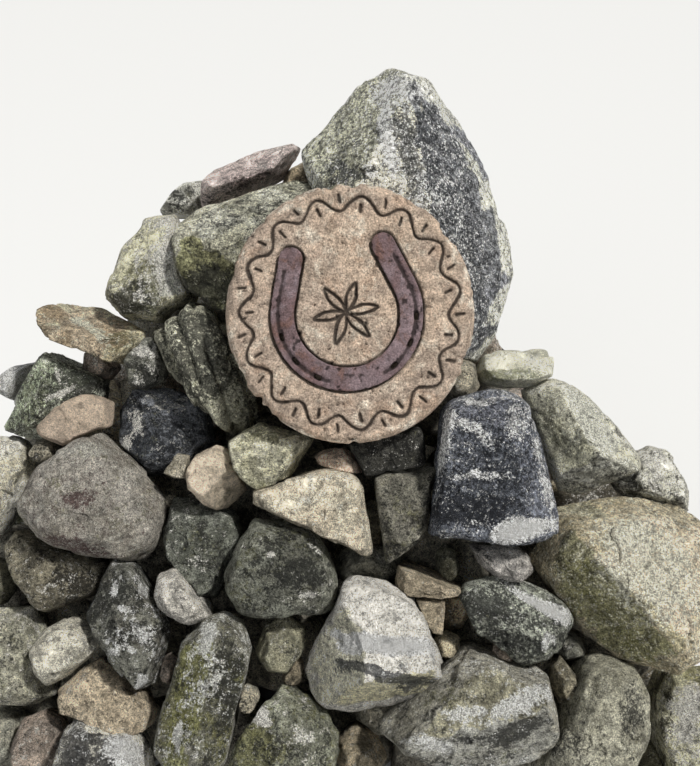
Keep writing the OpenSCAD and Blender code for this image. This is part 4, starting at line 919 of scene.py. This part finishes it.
    # Its paler upper right facet and the pale patch over it are painted light from the upper right
    "right_boulder": dict(
        slot="tan_grit", a="#bfb398", b="#a79c80", dark="#4a4534", pale="#e8dfcb", moss="#87844f", lift=1.15,
        lichen=0.42, mossy=0.1, grime_and_shade=0.25, fine=0.9, salt=0.55, rough=1.3, edge=110, step=BIG,
        faces=[(600, 510, 0.60, "#b4ae94"), (565, 530, 0.45, "#a5a184"), (650, 560, 0.75, "#cdbfa8"),
               (570, 580, 0.45, "#a5a17f"), (600, 630, 0.45, "#a5a17c"), (680, 650, 0.55, "#b9b092")],
        patches=[moss(575, 585, 26, 66, -38, 0.5), moss(620, 640, 60, 20, 30, 0.7),
                 dark(556, 545, 12, 46, -25, 0.6), dark(600, 640, 60, 10, 32, 0.3),
                 pale(650, 560, 50, 60, -45, 0.6), pale(600, 510, 60, 8, 5, 0.5)]),
    # The strong pale stripe along its top facet is a painted highlight
    "long_dark_stone": dict(
        slot="dark_grit", a="#6e7067", b="#56574f", dark="#1f2020", pale="#f0eee6", lift=3.0,
        lichen=0.22, mossy=0.2, grime_and_shade=0.6, fine=0.7, salt=0.6,
        faces=[(500, 605, 0.30), (520, 635, 0.12), (540, 605, 0.50), (560, 630, 0.35)],
        patches=[pale(535, 600, 36, 6, 27, 3.2), pale(565, 618, 12, 8, 20, 2.0),
                 dark(490, 605, 28, 12, 10, 0.7), pale(500, 582, 24, 4, 10, 0.7),
                 pale(548, 640, 5, 12, 0, 0.9)]),
    "tan_blocks": dict(
        slot="tan_grit", a="#c7baa1", b="#a99c86", lift=1.2, lichen=0.15, mossy=0.2, grime_and_shade=0.25, rough=0.7,
        faces=[(420, 575, 0.60), (435, 615, 0.60)]),
    # The dark strips under its white band are painted shade, and its upper facets are painted paler as light
    # from above
    "pale_keystone": dict(
        slot="pale_grit", a="#aaa7a0", b="#9f9c95", dark="#3a3d42", pale="#f0eee7", moss="#8f8d78", lift=2.25,
        lichen=0.25, mossy=0.1, grime_and_shade=0.25, fine=0.7, contrast=0.8, edge=110, step=MIDDLING,
        faces=[(375, 610, 0.70), (385, 668, 0.65), (350, 700, 0.45, "#a19c84"), (325, 640, 0.50, "#a09d8d"),
               (425, 620, 0.75), (335, 585, 0.60), (395, 575, 0.75)],
        patches=[pale(385, 643, 60, 9, 7, 2.5), pale(350, 650, 16, 7, 0, 1.6), dark(380, 674, 54, 7, 7, 1.5),
                 dark(420, 688, 20, 5, 5, 1.3), dark(320, 600, 8, 30, 10, 0.7),
                 moss(365, 710, 50, 8, -10, 0.5)]),
    "dark_round_stone": dict(
        slot="dark_grit", a="#6d6e64", b="#57574e", dark="#272825", moss="#6f6e4c", lift=2.0,
        lichen=0.15, mossy=0.45, grime_and_shade=0.5, edge=50,
        faces=[(300, 535, 0.35), (250, 595, 0.25), (330, 575, 0.25), (270, 525, 0.4)],
        patches=[pale(272, 553, 6, 4, 0, 1.6), pale(318, 550, 16, 3, 40, 1.6),
                 pale(334, 574, 3, 10, -10, 1.6), pale(300, 598, 20, 5, -10, 0.6),
                 dark(300, 575, 30, 14, 0, 0.5)]),
    "dark_green_stone": dict(
        slot="olive_grit", a="#6f7168", b="#55574e", lift=1.3, lichen=0.2, mossy=0.4, grime_and_shade=0.6),
    "white_cobble": dict(
        slot="pale_grit", a="#d5d0c6", b="#bdb8ae", lift=1.15, mossy=0.1, grime_and_shade=0.25, rough=0.7, edge=36,
        faces=[(175, 590, 0.70), (190, 605, 0.60)]),
    "spotted_stone": dict(
        slot="dark_grit", a="#6a6a62", b="#54524a", dark="#252623", pale="#eceae2", lift=1.8,
        lichen=0.34, mossy=0.25, grime_and_shade=0.6, fine=0.1,
        faces=[(115, 600, 0.35), (140, 625, 0.40), (100, 615, 0.25), (160, 620, 0.60)],
        patches=[pale(113, 588, 4, 10, 0, 1.2), pale(125, 625, 20, 34, 15, 0.35),
                 pale(118, 612, 5, 4, 0, 1.3), pale(144, 682, 6, 6, 0, 1.6),
                 pale(106, 640, 4, 4, 0, 1.2), pale(132, 650, 4, 5, 0, 1.1)]),
    "left_brown_stone": dict(
        slot="dark_grit", a="#807a69", b="#625d4f", dark="#201e1a", lift=1.25,
        lichen=0.25, mossy=0.25, grime_and_shade=0.5, patches=[dark(80, 585, 25, 20, 0, 0.8)]),
    "pale_oblong": dict(
        slot="cream_grit", a="#dbd6c5", b="#beb9a9", lift=1.15, lichen=0.3, mossy=0.1, grime_and_shade=0.25,
        rough=0.7, edge=40, faces=[(70, 640, 0.75), (50, 660, 0.55)]),
    "left_lichen_stone": dict(a="#9f9c8c", b="#7e7c6d", lift=1.7, lichen=0.4, mossy=0.35, grime_and_shade=0.45),
    "brown_flat_stone": dict(
        slot="tan_grit", a="#c0b29b", b="#a0937e", dark="#2e281f", lift=1.4, lichen=0.2, mossy=0.1, edge=70,
        faces=[(125, 690, 0.60), (80, 695, 0.50)]),
    "tall_mossy_stone": dict(
        slot="olive_grit", a="#77756a", b="#626055", dark="#2b2b26", pale="#e2e0d8", moss="#8b8955", lift=1.7,
        lichen=0.42, mossy=0.4, grime_and_shade=0.45, step=MIDDLING,
        faces=[(185, 700, 0.50, "#80805a"), (215, 700, 0.22, "#6e6d60"), (180, 740, 0.40),
               (235, 680, 0.20), (225, 632, 0.45)],
        patches=[pale(209, 640, 6, 24, 10, 0.9), pale(200, 690, 20, 40, 10, 0.3),
                 pale(179, 735, 3, 16, 5, 1.6), moss(180, 700, 18, 50, 10, 0.8),
                 dark(228, 690, 16, 50, 8, 0.5)]),
    "white_patched_stone": dict(
        slot="pale_grit", a="#aaa79c", b="#86837a", dark="#24252a", pale="#e8e6df", lift=2.4,
        lichen=0.4, mossy=0.2, grime_and_shade=0.6,
        faces=[(105, 745, 0.85), (140, 745, 0.80), (75, 745, 0.15)],
        patches=[dark(105, 720, 45, 5, 5), dark(76, 742, 14, 24), pale(126, 748, 20, 20, 0, 1.7),
                 dark(110, 755, 8, 12, 20, 0.9)]),
    "foot_green_stone": dict(
        slot="olive_grit", a="#878878", b="#6f7062", moss="#8b8956", lift=1.45,
        lichen=0.32, mossy=0.45, grime_and_shade=0.45,
        faces=[(260, 730, 0.42), (295, 730, 0.38), (240, 750, 0.25)],
        patches=[pale(264, 716, 9, 16, -30, 1.1), pale(300, 735, 14, 14, 0, 0.6),
                 moss(255, 745, 24, 20, 10, 0.8)]),
    "bottom_slab": dict(
        a="#98958a", b="#7d7a6f", pale="#e4e2da", moss="#8a8862", lift=1.6, mossy=0.25, edge=100,
        step=MIDDLING,
        faces=[(455, 710, 0.50, "#94907c"), (410, 710, 0.45), (500, 745, 0.60, "#a3a29a"),
               (530, 700, 0.55), (440, 755, 0.35)],
        patches=[pale(520, 705, 36, 12, -25), pale(470, 715, 30, 8, 10, 0.8), pale(430, 745, 30, 7, 10, 0.8),
                 moss(440, 690, 40, 16, 0, 0.7), dark(500, 660, 34, 6, 0, 0.8), dark(515, 735, 34, 7, -20),
                 dark(470, 740, 20, 5, 0, 0.8)]),
    "oval_stone": dict(
        a="#a6a392", b="#8c8979", pale="#c8c5b5", lift=1.4, lichen=0.3, grime_and_shade=0.35, fine=0.7, edge=44,
        faces=[(600, 700, 0.55), (555, 720, 0.25), (625, 700, 0.50), (590, 665, 0.70)],
        patches=[dark(560, 745, 25, 15, 0, 0.7), dark(630, 715, 10, 40, 0, 0.5)]),
    # The dark patch and the low facet value on its left part are painted shade
    "bottom_right_stone": dict(
        a="#a7a48f", b="#7a775b", dark="#24231a", lift=1.95, lichen=0.4, mossy=0.35,
        faces=[(655, 725, 0.15), (690, 720, 0.75), (660, 685, 0.3)],
        patches=[dark(655, 720, 18, 50, 0, 0.9), pale(690, 710, 18, 40, 0, 0.8)]),
    "pinnings": dict(
        slot="tan_grit", a="#a99f87", b="#86806e", lift=1.5, lichen=0.25, mossy=0.15, edge=50, rough=0.7,
        tones=("#a99f87", "#b5a58a", "#8f8c7e", "#a8998b", "#88846f", "#b3ab97"), cells=(7, 14), step=6.0),
    "ground_course": dict(
        a="#9b978a", b="#7c796c", lift=1.7, lichen=0.38, mossy=0.35, front=False, far_side=0.0,
        tones=("#9b978a", "#b3a891", "#85857a", "#a39c94", "#8d8d74", "#bbb7ab"), step=COMMON),
    "flank_stones": dict(
        a="#9f9c92", b="#7f7c70", lift=1.6, lichen=0.4, front=False, far_side=0.0,
        tones=("#9f9c92", "#b8ac95", "#868a80", "#a99d92", "#908f76", "#c0bcb0"), step=COMMON,
        patches=[dark(590, 492, 45, 12, -10, 2.5)]),
    "hearting": dict(
        slot="dark_grit", a="#3c3a34", b="#2e2c27", dark="#191815", pale="#5d5b52", lift=12.0,
        lichen=0.05, mossy=0.1, front=False, cells=(6, 8), step=20.0),
}
FIRST_SEED, SEED_STEP = 11, 7
for number, (node, look) in enumerate(STONES.items()):
    stone_piece(node, look, FIRST_SEED + SEED_STEP * number)

# Floor, light and camera
FLOOR_HALF = 9.0
floor_mesh = bpy.data.meshes.new("floor")
floor_corners = [(x * FLOOR_HALF, y * FLOOR_HALF, 0) for x, y in ((-1, -1), (1, -1), (1, 1), (-1, 1))]
floor_mesh.from_pydata(floor_corners, [], [(0, 1, 2, 3)])
floor = place_new("floor", floor_mesh)
FLOOR_TONE, FLOOR_ROUGH = (0.80, 0.80, 0.79, 1), 0.9
floor_mesh.materials.append(Nodes("floor_paint").finish(FLOOR_TONE, FLOOR_ROUGH, specular=0.1))

SUN_ENERGY, SUN_ANGLE, SUN_TINT = 3.1, math.radians(5), (1.0, 0.985, 0.95)
SUN_DIRECTION = (-0.50, 0.22, -0.84)
FILL_AT, FILL_AIM = (-1.6, -3.2, 2.6), (0, 0, 0.3)
FILL_SIZE, FILL_POWER, FILL_TINT = 2.4, 26, (0.96, 0.98, 1.0)
SKY_TINT, SKY_STRENGTH = (0.95, 0.97, 1.0, 1), 0.30


def lamp(name, kind, towards, at=(0, 0, 0), **values):
    data = bpy.data.lights.new(name, kind)
    for key, value in values.items():
        setattr(data, key, value)
    obj = place_new(name, data)
    obj.location = at
    obj.rotation_mode = "QUATERNION"
    obj.rotation_quaternion = Vector(towards).to_track_quat("-Z", "Y")


lamp("key_light", "SUN", SUN_DIRECTION, energy=SUN_ENERGY, angle=SUN_ANGLE, color=SUN_TINT)
lamp("fill_light", "AREA", Vector(FILL_AIM) - Vector(FILL_AT), FILL_AT,
     shape="DISK", size=FILL_SIZE, energy=FILL_POWER, color=FILL_TINT)

world = bpy.data.worlds.new("studio")
world.use_nodes = True
world.node_tree.nodes["Background"].inputs["Color"].default_value = SKY_TINT
world.node_tree.nodes["Background"].inputs["Strength"].default_value = SKY_STRENGTH
bpy.context.scene.world = world
bpy.context.scene.view_settings.view_transform = "Standard"

SENSOR_WIDTH = 36.0
camera_data = bpy.data.cameras.new("camera")
camera_data.sensor_fit = "HORIZONTAL"
camera_data.sensor_width = SENSOR_WIDTH
camera_data.lens = SENSOR_WIDTH * FOCAL_PX / FRAME_WIDTH
camera_data.clip_start = 0.05
camera = place_new("camera", camera_data)
eye = FACE_AT + OUT * EYE_DISTANCE
camera.matrix_world = Matrix([[ACROSS[k], UP_SLOPE[k], OUT[k], eye[k]] for k in range(3)] + [[0, 0, 0, 1]])
bpy.context.scene.camera = camera
